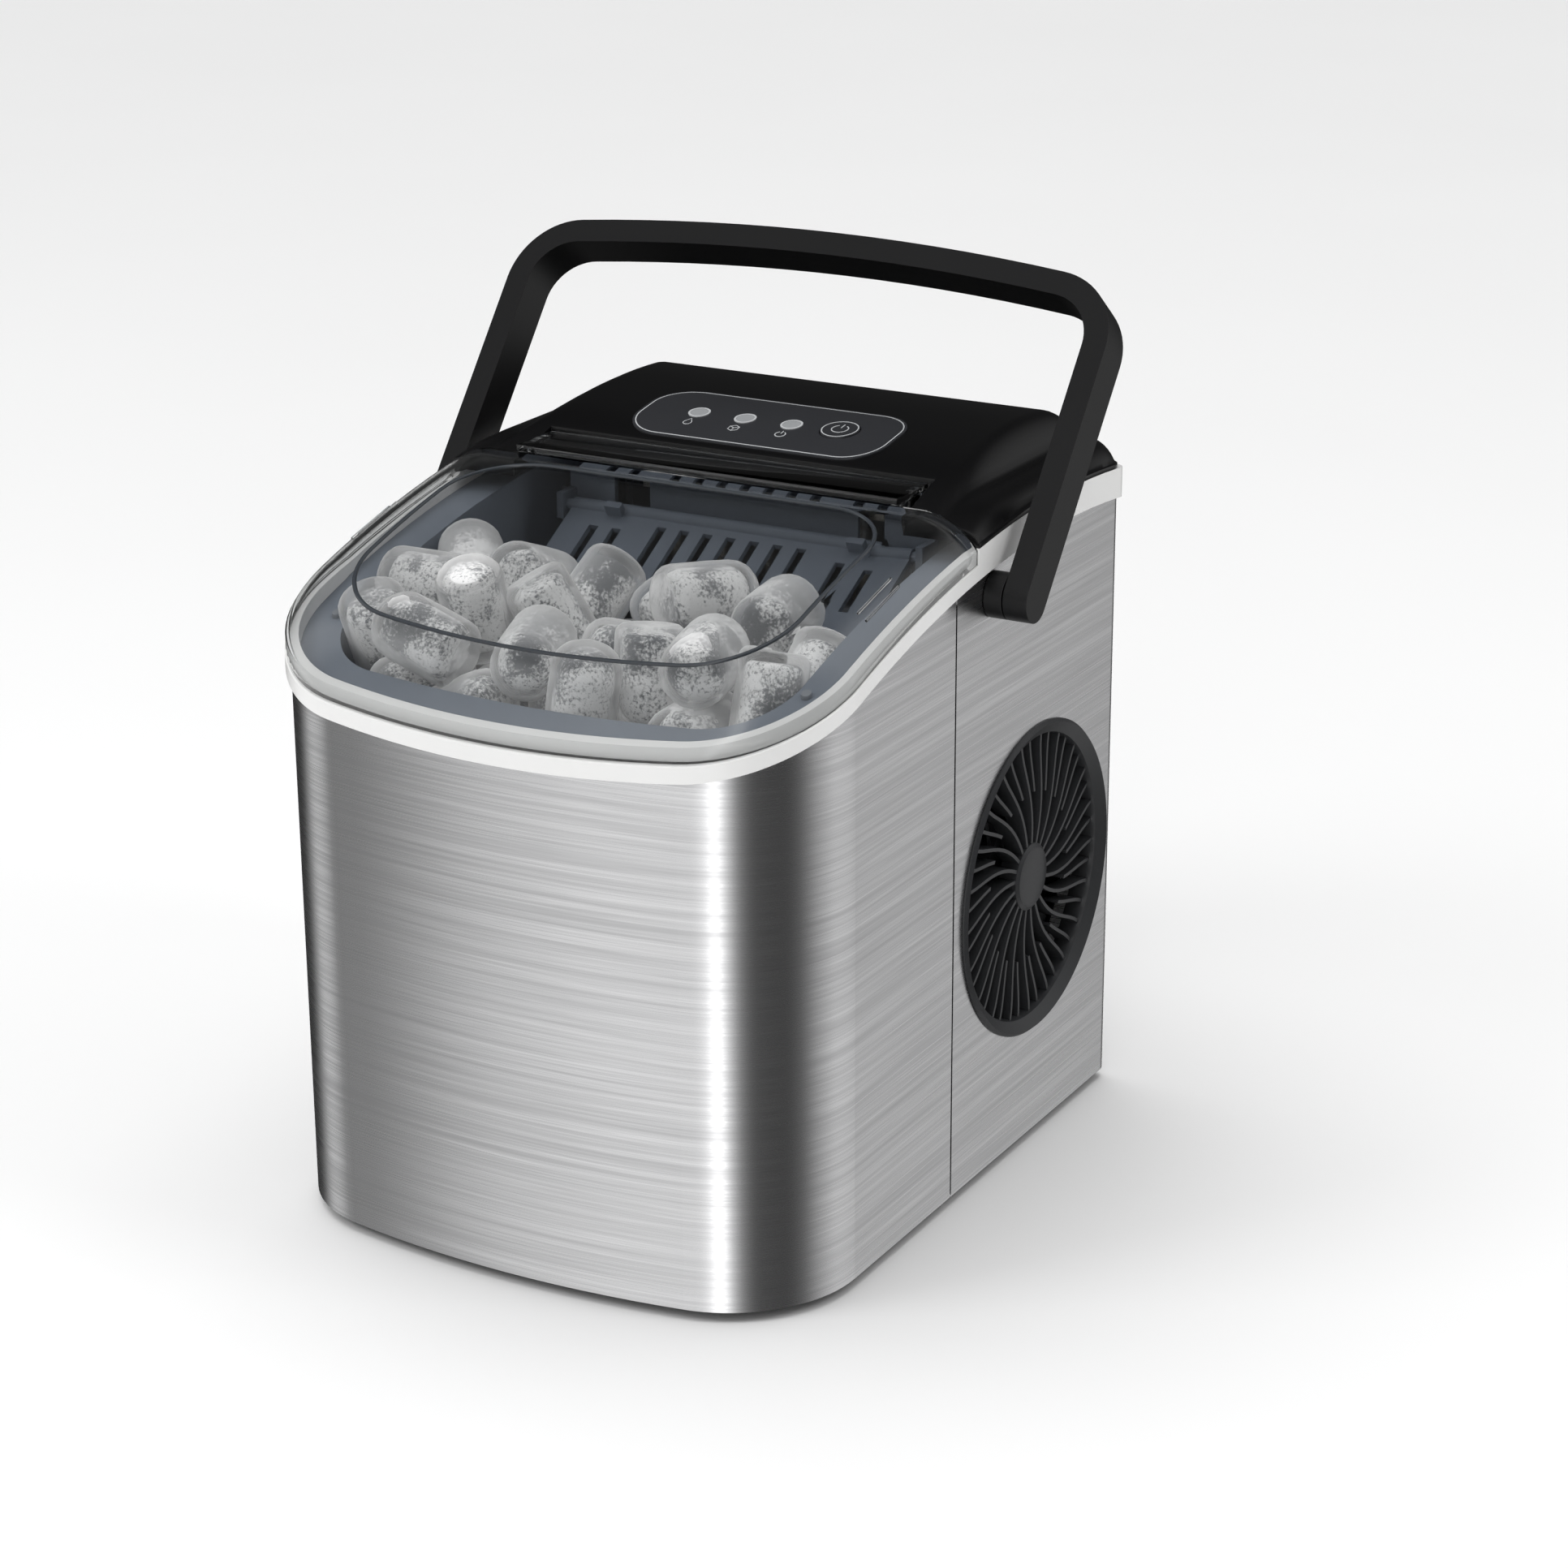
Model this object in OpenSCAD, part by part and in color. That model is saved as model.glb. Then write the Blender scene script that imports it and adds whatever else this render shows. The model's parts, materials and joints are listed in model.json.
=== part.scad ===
// Countertop bullet-ice maker: steel case, white top ring, clear hinged lid,
// black rear cover with a button, swinging carry handle, round side grille,
// ice basket, tilting water tray and a small refrigeration circuit.
// Origin: middle of the footprint on the worktop. Front is -Y, up is +Z.

/* [Case] */
// Width over the steel sides
body_w = 222; // [218:1:226]
// Depth over the steel, front bow to back
body_d = 268; // [266:1:272]
// Radius of the gentle bow of the front
bow_r = 394; // [380:1:420]
// Radius of the two upright front corners
corner_r = 50; // [46:1:54]
// Thickness of the steel sheet
steel_t = 0.8; // [0.6:0.1:1.2]
// Height of the steel's lower edge above the worktop
steel_z = 4; // [4:0.5:6]
// Where the front and rear steel panels meet, along Y
seam_y = -4; // [-6:1:-2]

/* [Top line] */
// Radius of the arc that the whole top line follows
arc_r = 500; // [490:5:520]
// Height of the top line's highest point
arc_top_z = 243.5; // [242:0.5:245]
// Place of that highest point along Y
arc_y = 76; // [74:1:78]
// How far the white ring stands out of the steel
trim_out = 2; // [1.5:0.5:2.5]

/* [Lid and handle] */
// Height of the lid's crown above the top line
lid_h = 23; // [22:0.5:24]
// Wall thickness of the clear lid
lid_t = 2.5; // [2:0.1:3]
// Reach of the handle from its pivots to the top of the bar
handle_reach = 130; // [127:1:134]
// Lean of the handle behind upright, at rest, in degrees
handle_lean = 38.5; // [36:0.5:42]
// Thickness of the handle's arms, side to side
handle_t = 9.5; // [8:0.5:10]
// Width of the handle's arms, front to back
handle_w = 17; // [15:0.5:18]

/* [Side grille] */
// Outer radius of the grille's bezel
grille_r = 61; // [59:1:62]
// Number of long blades, with as many short ones between
grille_blades = 21; // [18:1:24]
// How far a blade swirls from hub to rim, in degrees
grille_swirl = 14; // [10:1:18]

/* [Ice works] */
// Width of the ice basket
basket_w = 173; // [168:1:174]
// Height of the basket's rim above the worktop
basket_top_z = 190; // [184:1:191]
// Number of freezing fingers in the front row, with one fewer behind
fingers = 5; // [3:2:5]
// Length of each freezing finger
finger_len = 37; // [32:1:38]

/* [Hidden] */
$fn = 96;

gap = 0.1;                 // assembly gap between fixed parts
half_w = body_w / 2;
half_d = body_d / 2;
rear_r = 6;                // rear upright corners
arc_z = arc_top_z - arc_r; // centre height of the top line's arc
trim_h = 11.5;             // height of the white ring at the sides and back
trim_low_h = 5.5;          // height of the ring's proud band under the lid
trim_wall_h = 9.6;         // height of the ring's recessed wall inside the lid
trim_step_y = 9;           // the ring turns full height behind this line
lid_gap = 0.4;             // air between the lid's skirt and the ring
skirt_in = 0.8;            // inner face of the lid's skirt, inside the steel line
ledge_h = 4;               // height of the liner's ledge above the top line
hinge = [24, 258.5];       // lid hinge axis, Y and Z
pivot = [24.5, 230];       // handle pivot axis, Y and Z
tab_w = 80.5;              // half width of the lid's hinge tab
notch_w = 82;              // half width of the notch in the cover
notch_y = 35.4;             // back of that notch
cover_t = 2.5;             // wall of the rear cover
cover_arc = [98, 36.4, 237.7]; // Y, Z and radius of the cover's upper curve
tub = [92, 113.5, -4];     // tub inside: half width, front, back line
tub_floor = 50;            // inside floor of the tub
chamber_y = 100;           // inside back of the freezing chamber
shelf_z = 170;             // floor of the freezing chamber
wall = 2;                  // wall of the moulded liner and basket
frame_z = 247.6;           // underside of the mechanism frame
tray_axis = [66, 222];     // water tray axis, Y and Z
tray_r = 30;               // inside radius of the water tray
tray_spread = 72;          // half opening angle of the tray's trough
tray_half = 54;            // inside half length of the tray
shovel_axis = [36, 235];   // ice shovel axis, Y and Z
shovel_slope = 30;         // slope of the shovel at rest
shovel_half = 72;          // half width of the shovel
fan_axis = [64, 108];      // fan and grille axis, Y and Z
compressor_at = [-50, 78]; // compressor centre, X and Y
drain_at = [-40, 58];      // drain axis on the left side, Y and Z

steel = "silver";
black = [0.07, 0.07, 0.08];

// ---------- shared shapes ----------

// Plan with a bowed front edge, tangent front corners and rounded rear corners
module bow_outline(half, front, back, bow, corner, rear, inset = 0) {
  cx = half - corner;
  bow_y = bow - front;
  cy = bow_y - sqrt(pow(bow - corner, 2) - cx * cx);
  k = 2 * bow / norm([cx, bow_y - cy]);
  side = half - inset;
  end = back - inset;
  rr = max(rear - inset, 0);
  intersection() {
    translate([-2 * half, -front - half]) square([4 * half, front + half + end]);
    union() {
      intersection() {
        translate([0, bow_y]) circle(r = bow - inset, $fn = 360);
        polygon([[0, bow_y], [-cx * k, bow_y - (bow_y - cy) * k],
                 [cx * k, bow_y - (bow_y - cy) * k]]);
      }
      for (s = [-1, 1]) {
        translate([s * cx, cy]) circle(r = corner - inset);
        if (rr > 0) translate([s * (side - rr), end - rr]) circle(r = rr);
      }
      translate([-side, cy]) square([2 * side, end - rr - cy]);
      translate([rr - side, cy]) square([2 * (side - rr), end - cy]);
    }
  }
}

// The case's plan, moved inwards by inset
module plan(inset = 0)
  bow_outline(half_w, half_d, half_d, bow_r, corner_r, rear_r, inset);

module upright_ring(outer, inner, z0, z1)
  translate([0, 0, z0]) linear_extrude(z1 - z0)
    difference() { plan(outer); plan(inner); }

// Points along the top line raised by h, front to back, as Y and Z
function line_points(h) = [for (a = [117:-1.2:81])
  [arc_y + (arc_r + h) * cos(a), arc_z + (arc_r + h) * sin(a)]];
function line_at(y, h) = arc_z + sqrt(pow(arc_r + h, 2) - pow(y - arc_y, 2));
function reversed(v) = [for (i = [len(v) - 1:-1:0]) v[i]];

// Extrudes a shape drawn in Y and Z across the whole width
module across() rotate([90, 0, 90]) translate([0, 0, -150]) linear_extrude(300) children();

// Everything below the top line raised by h
module below_line(h)
  across() polygon(concat(line_points(h), [[160, -300], [-160, -300]]));

// A ring that follows the top line between heights h0 and h1
module line_ring(outer, inner, h0, h1)
  intersection() {
    upright_ring(outer, inner, 150, 270);
    across() polygon(concat(line_points(h1), reversed(line_points(h0))));
  }

module ahead_of(y) translate([-200, y - 400, -50]) cube([400, 400, 500]);
module behind(y) translate([-200, y, -50]) cube([400, 400, 500]);

// A cylinder along +X from x0, at y and z
module bar_x(x0, x1, y, z, r)
  translate([x0, y, z]) rotate([0, 90, 0]) cylinder(r = r, h = x1 - x0);

// A bent tube: straight runs with rounded knees
module run(points, r)
  for (i = [0:len(points) - 1]) {
    translate(points[i]) sphere(r = r, $fn = 32);
    if (i > 0) {
      step = points[i] - points[i - 1];
      translate(points[i - 1])
        rotate([0, acos(step[2] / norm(step)), atan2(step[1], step[0])])
          cylinder(r = r, h = norm(step), $fn = 32);
    }
  }

// A rounded rectangle on the XY plane
module round_rect(w, d, r)
  union() {
    square([w - 2 * r, d], center = true);
    square([w, d - 2 * r], center = true);
    for (x = [-1, 1], y = [-1, 1])
      translate([x * (w / 2 - r), y * (d / 2 - r)]) circle(r = r);
  }

// ---------- case ----------

feet_at = [[-82, -84], [82, -84], [-88, 112], [88, 112]];

module base_tray() color(black) difference() {
  union() {
    translate([0, 0, 2.5]) linear_extrude(3) plan(2.5);
    upright_ring(steel_t + gap, 2.9, steel_z, 18);
    // compressor rails and fan cradle
    for (y = [-22, 22])
      translate([compressor_at[0] - 40, compressor_at[1] + y - 5, 5.5]) cube([80, 10, 2.5]);
  }
  for (p = feet_at) translate([p[0], p[1], 0]) cylinder(r = 3.6, h = 10);
  // air slots under the condenser
  for (i = [0:6]) translate([38, 24 + i * 12, 0]) cube([34, 5, 10]);
  // opening under the pump
  translate([-84, -60, 0]) cylinder(r = 6, h = 10);
}

module rubber_feet() color("dimgray")
  for (p = feet_at) translate([p[0], p[1], 0]) {
    cylinder(r = 10, h = 2.5);
    cylinder(r = 3.5, h = 7);
    translate([0, 0, 5.6]) cylinder(r = 4.6, h = 1.4);
  }

module front_panel() color(steel) difference() {
  intersection() {
    upright_ring(0, steel_t, steel_z, 260);
    below_line(1);
    ahead_of(seam_y - 0.5);
  }
  bar_x(-half_w - 5, -half_w + 5, drain_at[0], drain_at[1], 8.1);
}

module rear_panel() color(steel) difference() {
  intersection() {
    upright_ring(0, steel_t, steel_z, 260);
    below_line(1);
    behind(seam_y + 0.5);
  }
  bar_x(half_w - 5, half_w + 5, fan_axis[0], fan_axis[1], 58);
  for (s = [-1, 1]) bar_x(s * half_w - 5, s * half_w + 5, pivot[0], pivot[1], 5);
  // punched air slots on the left side and at the back
  for (i = [0:8]) {
    translate([-half_w - 5, 36 + i * 8, 84]) cube([10, 3, 52]);
    translate([-40 + i * 10, half_d - 5, 70]) cube([3, 10, 60]);
  }
  translate([-74, half_d + 5, 34]) rotate([90, 0, 0]) cylinder(r = 8, h = 10);
}

module top_trim() color("white") difference() {
  union() {
    line_ring(-trim_out, -gap, 0, 3);
    line_ring(steel_t + gap, 4, -4, 3);
    line_ring(-trim_out, 4, 1.2, trim_low_h);
    line_ring(skirt_in + lid_gap, 4, 3, trim_wall_h);
    intersection() {
      line_ring(-trim_out, 4, 3, trim_h);
      behind(trim_step_y);
    }
  }
  // room for the handle pivots behind the steel
  for (s = [-1, 1])
    bar_x(s * (half_w - 4) - 3.2, s * (half_w - 4) + 3.2, pivot[0], pivot[1], 9.2);
}

module blade_shape(r0, r1) {
  n = 10;
  swirl = function (r) let (t = (r - 13) / (55 - 13)) grille_swirl * t * t * (3 - 2 * t);
  side = function (s) [for (i = [0:n])
    let (r = r0 + (r1 - r0) * i / n, a = swirl(r) + s * 0.7 / r * 180 / PI)
      r * [cos(a), sin(a)]];
  right = side(-1);
  left = side(1);
  polygon(concat(right, [for (i = [n:-1:0]) left[i]]));
}

module vent_grille() color([0.2, 0.2, 0.21])
  translate([half_w, fan_axis[0], fan_axis[1]]) rotate([90, 0, 90]) {
    rotate_extrude() polygon([[grille_r, 0.05], [grille_r, 0.7], [grille_r - 1.2, 2],
      [55.5, -1], [55, -3], [55, -9], [57.6, -9], [57.6, 0.05]]);
    translate([0, 0, -9]) rotate_extrude() polygon([[0, 0], [13, 0], [13, 7.2], [11.6, 8.2],
      [10.6, 7.4], [0, 6.2]]);
    translate([0, 0, -9]) for (i = [0:grille_blades - 1]) {
      pitch = 360 / grille_blades;
      rotate(i * pitch) linear_extrude(7) blade_shape(12.5, 55.6);
      rotate((i + 0.5) * pitch) linear_extrude(6.4) blade_shape(33, 55.6);
    }
  }

// ---------- rear cover and controls ----------

// Everything inside the cover's outer skin moved inwards by inset
module cover_form(inset) {
  rear = 136 - inset;
  shoulder_z = 262 - inset;
  shoulder_r = 13 - inset;
  intersection() {
    translate([0, 0, 225]) linear_extrude(60) difference() {
      bow_outline(half_w + trim_out, half_d + trim_out, half_d + trim_out,
                  bow_r, corner_r, 14, inset);
      translate([-150, -250]) square([300, 250 + trim_step_y + 0.4 + inset]);
      translate([-notch_w - inset, -250]) square([2 * (notch_w + inset), 250 + notch_y + inset]);
    }
    across() intersection() {
      translate([cover_arc[0], cover_arc[1]]) circle(r = cover_arc[2] - inset, $fn = 360);
      union() {
        translate([-50, 200]) square([50 + 116, 100]);
        translate([116, 253.4]) circle(r = 20 - inset);
        translate([-50, 200]) square([50 + rear, 53.4]);
      }
    }
    translate([0, 150, 0]) rotate([90, 0, 0]) linear_extrude(200) union() {
      polygon([[-96 + inset, 200], [96 - inset, 200], [96 - inset, shoulder_z],
               [80 - inset, 284], [-80 + inset, 284], [-96 + inset, shoulder_z]]);
      translate([-100, 200]) square([200, shoulder_z - 200]);
      for (s = [-1, 1]) translate([s * 100, 249]) circle(r = shoulder_r);
      translate([inset - 113, 200]) square([226 - 2 * inset, 49]);
    }
  }
}

board_posts = [[-46, 46], [44, 46], [-46, 75], [44, 75]];
lamps_x = [-31, -11, 9];
lamp_y = 60;
button_at = [29, 61];

module cover_skin_at(raise)
  translate([0, cover_arc[0], cover_arc[1]]) rotate([0, 90, 0])
    cylinder(r = cover_arc[2] + raise, h = 300, center = true, $fn = 360);

module top_cover() color(black) difference() {
  union() {
    difference() {
      cover_form(0);
      cover_form(cover_t);
      below_line(trim_h + gap);
    }
    // posts that carry the control board
    intersection() {
      for (p = board_posts) translate([p[0], p[1], 256.7]) cylinder(r = 3, h = 30);
      cover_form(0.5);
    }
    // knuckles that hold the hinge pins
    for (s = [-1, 1]) intersection() {
      bar_x(s * 85.5 - 3.5, s * 85.5 + 3.5, hinge[0], hinge[1] - 2, 7);
      cover_form(0.5);
    }
  }
  for (x = lamps_x) translate([x, lamp_y, 250]) cylinder(r = 3.6, h = 40);
  translate([button_at[0], button_at[1], 250]) cylinder(r = 7.9, h = 40);
  for (s = [-1, 1]) bar_x(s * 85 - 4.5, s * 85 + 4.5, hinge[0], hinge[1], 2.05);
}

module control_overlay() color([0.18, 0.18, 0.19]) difference() {
  intersection() {
    translate([-1, 60, 255]) linear_extrude(30) round_rect(108, 42, 16);
    cover_skin_at(0.5);
  }
  cover_skin_at(0);
  for (x = lamps_x) translate([x, lamp_y, 250]) cylinder(r = 3.6, h = 40);
  translate([button_at[0], button_at[1], 250]) cylinder(r = 7.9, h = 40);
}

module indicator_lenses() color("lightgray") intersection() {
  for (x = lamps_x) translate([x, lamp_y, 264]) cylinder(r = 3.5, h = 20);
  cover_skin_at(0.8);
}

module power_button() color([0.18, 0.18, 0.19])
  translate([button_at[0], button_at[1], 0]) {
    intersection() {
      translate([0, 0, 266]) cylinder(r = 7.6, h = 20);
      translate([-button_at[0], -button_at[1], 0]) cover_skin_at(1);
    }
    translate([0, 0, 264.6]) cylinder(r = 9.4, h = 1.4);
    translate([0, 0, 260.8]) cylinder(r = 2.5, h = 4);
  }

module control_board() color("darkgreen") {
  translate([-52, 41, 255]) cube([102, 38, 1.6]);
  for (x = lamps_x) translate([x, lamp_y, 256.6]) cylinder(r = 2.5, h = 6.5);
  translate([button_at[0] - 3, button_at[1] - 3, 256.6]) cube([6, 6, 3.4]);
  translate([-44, 50, 256.6]) cube([6, 18, 4]);
}

module power_board() color("darkgreen") {
  translate([-103.4, 30, 60]) cube([1.6, 80, 90]);
  translate([-101.8, 40, 90]) cube([5, 22, 26]);
  translate([-101.8, 70, 70]) cube([5, 14, 18]);
  translate([-101.8, 88, 120]) rotate([0, 90, 0]) cylinder(r = 6, h = 5);
  // stand-offs to the steel side
  for (y = [36, 104], z = [66, 144]) bar_x(-half_w + steel_t + gap, -103.4, y, z, 3);
}

// ---------- lid ----------

crown_r = 27.3;            // radius that rounds the crown down to the lid's edge
crown_in = 21;             // how far inside the steel line the rounding starts
crown_steps = [0, 0.06, 0.15, 0.28, 0.45, 0.68, 1];

// The right half of the plan's edge moved inwards by d, from y_end to the front's middle
function half_edge(d, y_end) = let (
    cx = half_w - corner_r, bow_y = bow_r - half_d,
    cy = bow_y - sqrt(pow(bow_r - corner_r, 2) - cx * cx),
    turn = atan2(bow_y - cy, cx))
  concat(
    [for (i = [0:5]) [half_w - d, y_end + (cy - y_end) * i / 6]],
    [for (i = [0:11]) [cx, cy] + (corner_r - d) * [cos(turn * i / 12), -sin(turn * i / 12)]],
    [for (i = [0:8]) let (a = turn + (90 - turn) * i / 8)
      [0, bow_y] + (bow_r - d) * [cos(a), -sin(a)]]);

function full_edge(d, y_end) = let (half = half_edge(d, y_end), n = len(half) - 1)
  concat(half, [for (i = [n - 1:-1:0]) [-half[i][0], half[i][1]]]);

// One course of the lid's skin, at inset d and height h above the top line
function course(d, h, y_end) = [for (p = full_edge(d, y_end)) [p[0], p[1], line_at(p[1], h)]];

// Height of the crown at inset d, for a skin that lies thin below the outside
function crown_h(d, thin) =
  lid_h - crown_r + sqrt(pow(crown_r - thin, 2) - pow(crown_in - d, 2));

// All courses of one skin, from the skirt's lower edge up to the flat crown
function skin(edge, thin, y_end) = concat(
  [course(edge, trim_low_h + lid_gap, y_end)],
  [for (t = crown_steps) let (d = edge + (crown_in - edge) * t)
    course(d, crown_h(d, thin), y_end)]);

// Two triangles for a quad
function quad(a, b, c, d) = [[a, b, c], [a, c, d]];

module lid_shell(y_end) {
  outer = skin(-1.6, 0, y_end);
  inner = skin(skirt_in, lid_t, y_end);
  rows = len(outer);
  n = len(outer[0]);
  mid = (n - 1) / 2;
  in0 = rows * n;
  last = rows - 1;
  at = function (row, i) row * n + i;
  skins = [for (r = [0:rows - 2], i = [0:n - 2]) each concat(
    quad(at(r, i), at(r, i + 1), at(r + 1, i + 1), at(r + 1, i)),
    quad(in0 + at(r, i), in0 + at(r + 1, i), in0 + at(r + 1, i + 1), in0 + at(r, i + 1)))];
  crowns = [for (i = [0:mid - 2]) each concat(
    quad(at(last, i), at(last, i + 1), at(last, n - 2 - i), at(last, n - 1 - i)),
    quad(in0 + at(last, i), in0 + at(last, n - 1 - i), in0 + at(last, n - 2 - i),
         in0 + at(last, i + 1)))];
  tips = [[at(last, mid - 1), at(last, mid), at(last, mid + 1)],
          [in0 + at(last, mid - 1), in0 + at(last, mid + 1), in0 + at(last, mid)]];
  rim = [for (i = [0:n - 2]) each quad(at(0, i), in0 + at(0, i), in0 + at(0, i + 1), at(0, i + 1))];
  ends = [for (r = [0:rows - 2]) each concat(
    quad(at(r, 0), at(r + 1, 0), in0 + at(r + 1, 0), in0 + at(r, 0)),
    quad(at(r, n - 1), in0 + at(r, n - 1), in0 + at(r + 1, n - 1), at(r + 1, n - 1)))];
  arch = quad(at(last, 0), at(last, n - 1), in0 + at(last, n - 1), in0 + at(last, 0));
  polyhedron(points = concat([for (row = outer) each row], [for (row = inner) each row]),
             faces = concat(skins, crowns, tips, rim, ends, arch));
}

module lid() color([0.75, 0.82, 0.88, 0.4]) difference() {
  union() {
    lid_shell(trim_step_y - 0.3);
    translate([-tab_w, 6, 262.3]) cube([2 * tab_w, 27, lid_t]);
    // step between the crown and the tab
    translate([-tab_w, 6, 260]) cube([2 * tab_w, 2.5, 3]);
    for (s = [-1, 1]) intersection() {
      union() {
        bar_x(s * (tab_w - 1.6) - 1.6, s * (tab_w - 1.6) + 1.6, hinge[0], hinge[1], 6);
        translate([s * (tab_w - 1.6) - 1.6, 7, 258]) cube([3.2, 21, 6.8]);
      }
      translate([-100, 0, 0]) cube([200, 60, 264.8]);
    }
  }
  for (s = [-1, 1]) bar_x(s * 79 - 3, s * 79 + 3, hinge[0], hinge[1], 2);
}

module lid_hinge_pins() color("gray")
  for (s = [-1, 1]) {
    bar_x(s * 81 - 4, s * 81 + 4, hinge[0], hinge[1], 2);
  }

module lid_bumpers() color("gray")
  for (s = [-1, 1]) intersection() {
    difference() {
      translate([s * 96, -86, 0]) cylinder(r = 1.8, h = 260);
      below_line(ledge_h);
    }
    below_line(ledge_h + 1.5);
  }

// ---------- handle ----------

module handle_outline(inset) {
  half = half_w + 17.3;
  bow_outline(half, handle_reach, 20, 912, 28, 6, inset);
}

module handle() color(black)
  translate([0, pivot[0], pivot[1]]) rotate([-handle_lean, 0, 0]) difference() {
    intersection() {
      translate([0, -handle_w / 2, 0]) rotate([90, 0, 0]) mirror([0, 0, 1])
        linear_extrude(handle_w) rotate(180) difference() {
          handle_outline(0);
          handle_outline(handle_t);
        }
      union() {
        translate([-150, -handle_w / 2, 0]) cube([300, handle_w, 200]);
        bar_x(-150, 150, 0, 0, handle_w / 2);
      }
    }
    // blind holes that turn on the pivot stubs
    bar_x(-half_w - 13, half_w + 13, 0, 0, 4.05);
  }

module handle_pivots() color(black)
  for (s = [-1, 1]) translate([s * half_w, pivot[0], pivot[1]]) rotate([0, s * 90, 0]) {
    translate([0, 0, 0.05]) cylinder(r = 8.5, h = 7.35);
    translate([0, 0, -3]) cylinder(r = 4.9, h = 3.05);
    translate([0, 0, -3.6]) cylinder(r = 8, h = 2.7);
    cylinder(r = 4, h = 12.6);
  }

// ---------- liner, foam and basket ----------

module tub_plan(grow)
  bow_outline(tub[0] + grow, tub[1] + grow, tub[2] + grow, 600, 30, 4 + grow, 0);

module chamber_box(grow)
  translate([-tub[0] - grow, -10 - grow, shelf_z - grow])
    cube([2 * (tub[0] + grow), chamber_y + 10 + 2 * grow, 90 + 2 * grow]);

module liner_hollow(grow) union() {
  translate([0, 0, tub_floor - grow]) linear_extrude(230) tub_plan(grow);
  chamber_box(grow);
}

module inner_liner() color([0.48, 0.51, 0.55]) difference() {
  union() {
    intersection() {
      liner_hollow(wall);
      below_line(ledge_h);
    }
    difference() {
      intersection() {
        translate([0, 0, 190]) linear_extrude(70) plan(4.1);
        below_line(ledge_h);
        ahead_of(chamber_y + 4);
      }
      below_line(ledge_h - wall);
    }
    // pad behind the drain fitting
    bar_x(-tub[0] - 6, -tub[0] - 1, drain_at[0], drain_at[1], 9);
  }
  difference() {
    liner_hollow(0);
    // rails that carry the basket
    for (s = [-1, 1]) translate([s * 87 - 7, -86, 88]) cube([14, 66, 6]);
  }
  bar_x(-tub[0] - 10, -tub[0] + 5, drain_at[0], drain_at[1], 5.1);
}

module insulation_foam() color("ghostwhite") {
  // sleeve round the tub
  difference() {
    translate([0, 0, 60]) linear_extrude(97.8) tub_plan(8);
    translate([0, 0, 50]) linear_extrude(120) tub_plan(wall + 0.3);
    bar_x(-tub[0] - 20, -tub[0] + 5, drain_at[0], drain_at[1], 9.2);
  }
  // slab under the freezing chamber
  translate([-tub[0] - 6, 4.2, shelf_z - 7.6]) cube([2 * (tub[0] + 6), 97, 5.4]);
}

module basket_plan(inset)
  bow_outline(basket_w / 2, 109, -9, 600, 26, 8, inset);

basket_z = 94.3;

module ice_basket() color("gainsboro") difference() {
  union() {
    translate([0, 0, basket_z]) linear_extrude(basket_top_z - basket_z) basket_plan(0);
    translate([0, 0, basket_top_z - 3]) linear_extrude(3) basket_plan(-1.2);
  }
  translate([0, 0, basket_z + wall]) linear_extrude(110) basket_plan(wall);
  // drain slots in the floor
  for (i = [0:6], y = [-92, -54])
    translate([-64.5 + i * 20, y, basket_z - 1]) cube([9, 30, 4]);
  // slots in the back wall and the sides
  for (i = [0:5]) translate([-64 + i * 24, -14, 112]) cube([8, 8, 56]);
  for (i = [0:2]) translate([-95, -70 + i * 20, 112]) cube([190, 8, 56]);
}

// ---------- freezing works ----------

pipes_x = [10, -30];
hose_end = [-48, 84];

module mechanism_frame() color(black) difference() {
  translate([-96, 38, frame_z]) cube([192, 65, 2.4]);
  // wires, then the two pipes of the evaporator, then the hose
  translate([48, 90, frame_z - 5]) cylinder(r = 4, h = 12);
  for (x = pipes_x) translate([x, 76, frame_z - 5]) cylinder(r = 2.4, h = 12);
  translate([hose_end[0], hose_end[1], frame_z - 5]) cylinder(r = 3.5, h = 12);
}

finger_pitch = 20;
finger_r = 4;

module evaporator() color([0.72, 0.55, 0.42]) {
  translate([-52, 53, frame_z - 7]) cube([104, 26, 7]);
  for (i = [0:fingers - 1])
    translate([(i - (fingers - 1) / 2) * finger_pitch, 58, frame_z - 7 - finger_len]) {
      cylinder(r = finger_r, h = finger_len);
      sphere(r = finger_r);
    }
  for (i = [0:fingers - 2])
    translate([(i - (fingers - 2) / 2) * finger_pitch, 74, frame_z - 7 - finger_len]) {
      cylinder(r = finger_r, h = finger_len);
      sphere(r = finger_r);
    }
}

module drip_guard() color("lightsteelblue") difference() {
  translate([-45, 46, 231]) cube([90, 2, frame_z - 231]);
  for (s = [-1, 1]) translate([s * 45, 50, 231]) rotate([90, 0, 0]) cylinder(r = 3, h = 6);
}

module shovel_brackets() color([0.4, 0.42, 0.45])
  for (s = [-1, 1]) difference() {
    union() {
      translate([s * 68 - 10, 42, 232]) cube([20, 2.5, frame_z - 232]);
      translate([s * 76.5 - 1.5, 32, 230]) cube([3, 12.5, 10]);
    }
    bar_x(s * 76.5 - 4, s * 76.5 + 4, shovel_axis[0], shovel_axis[1], 2.05);
  }

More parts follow.
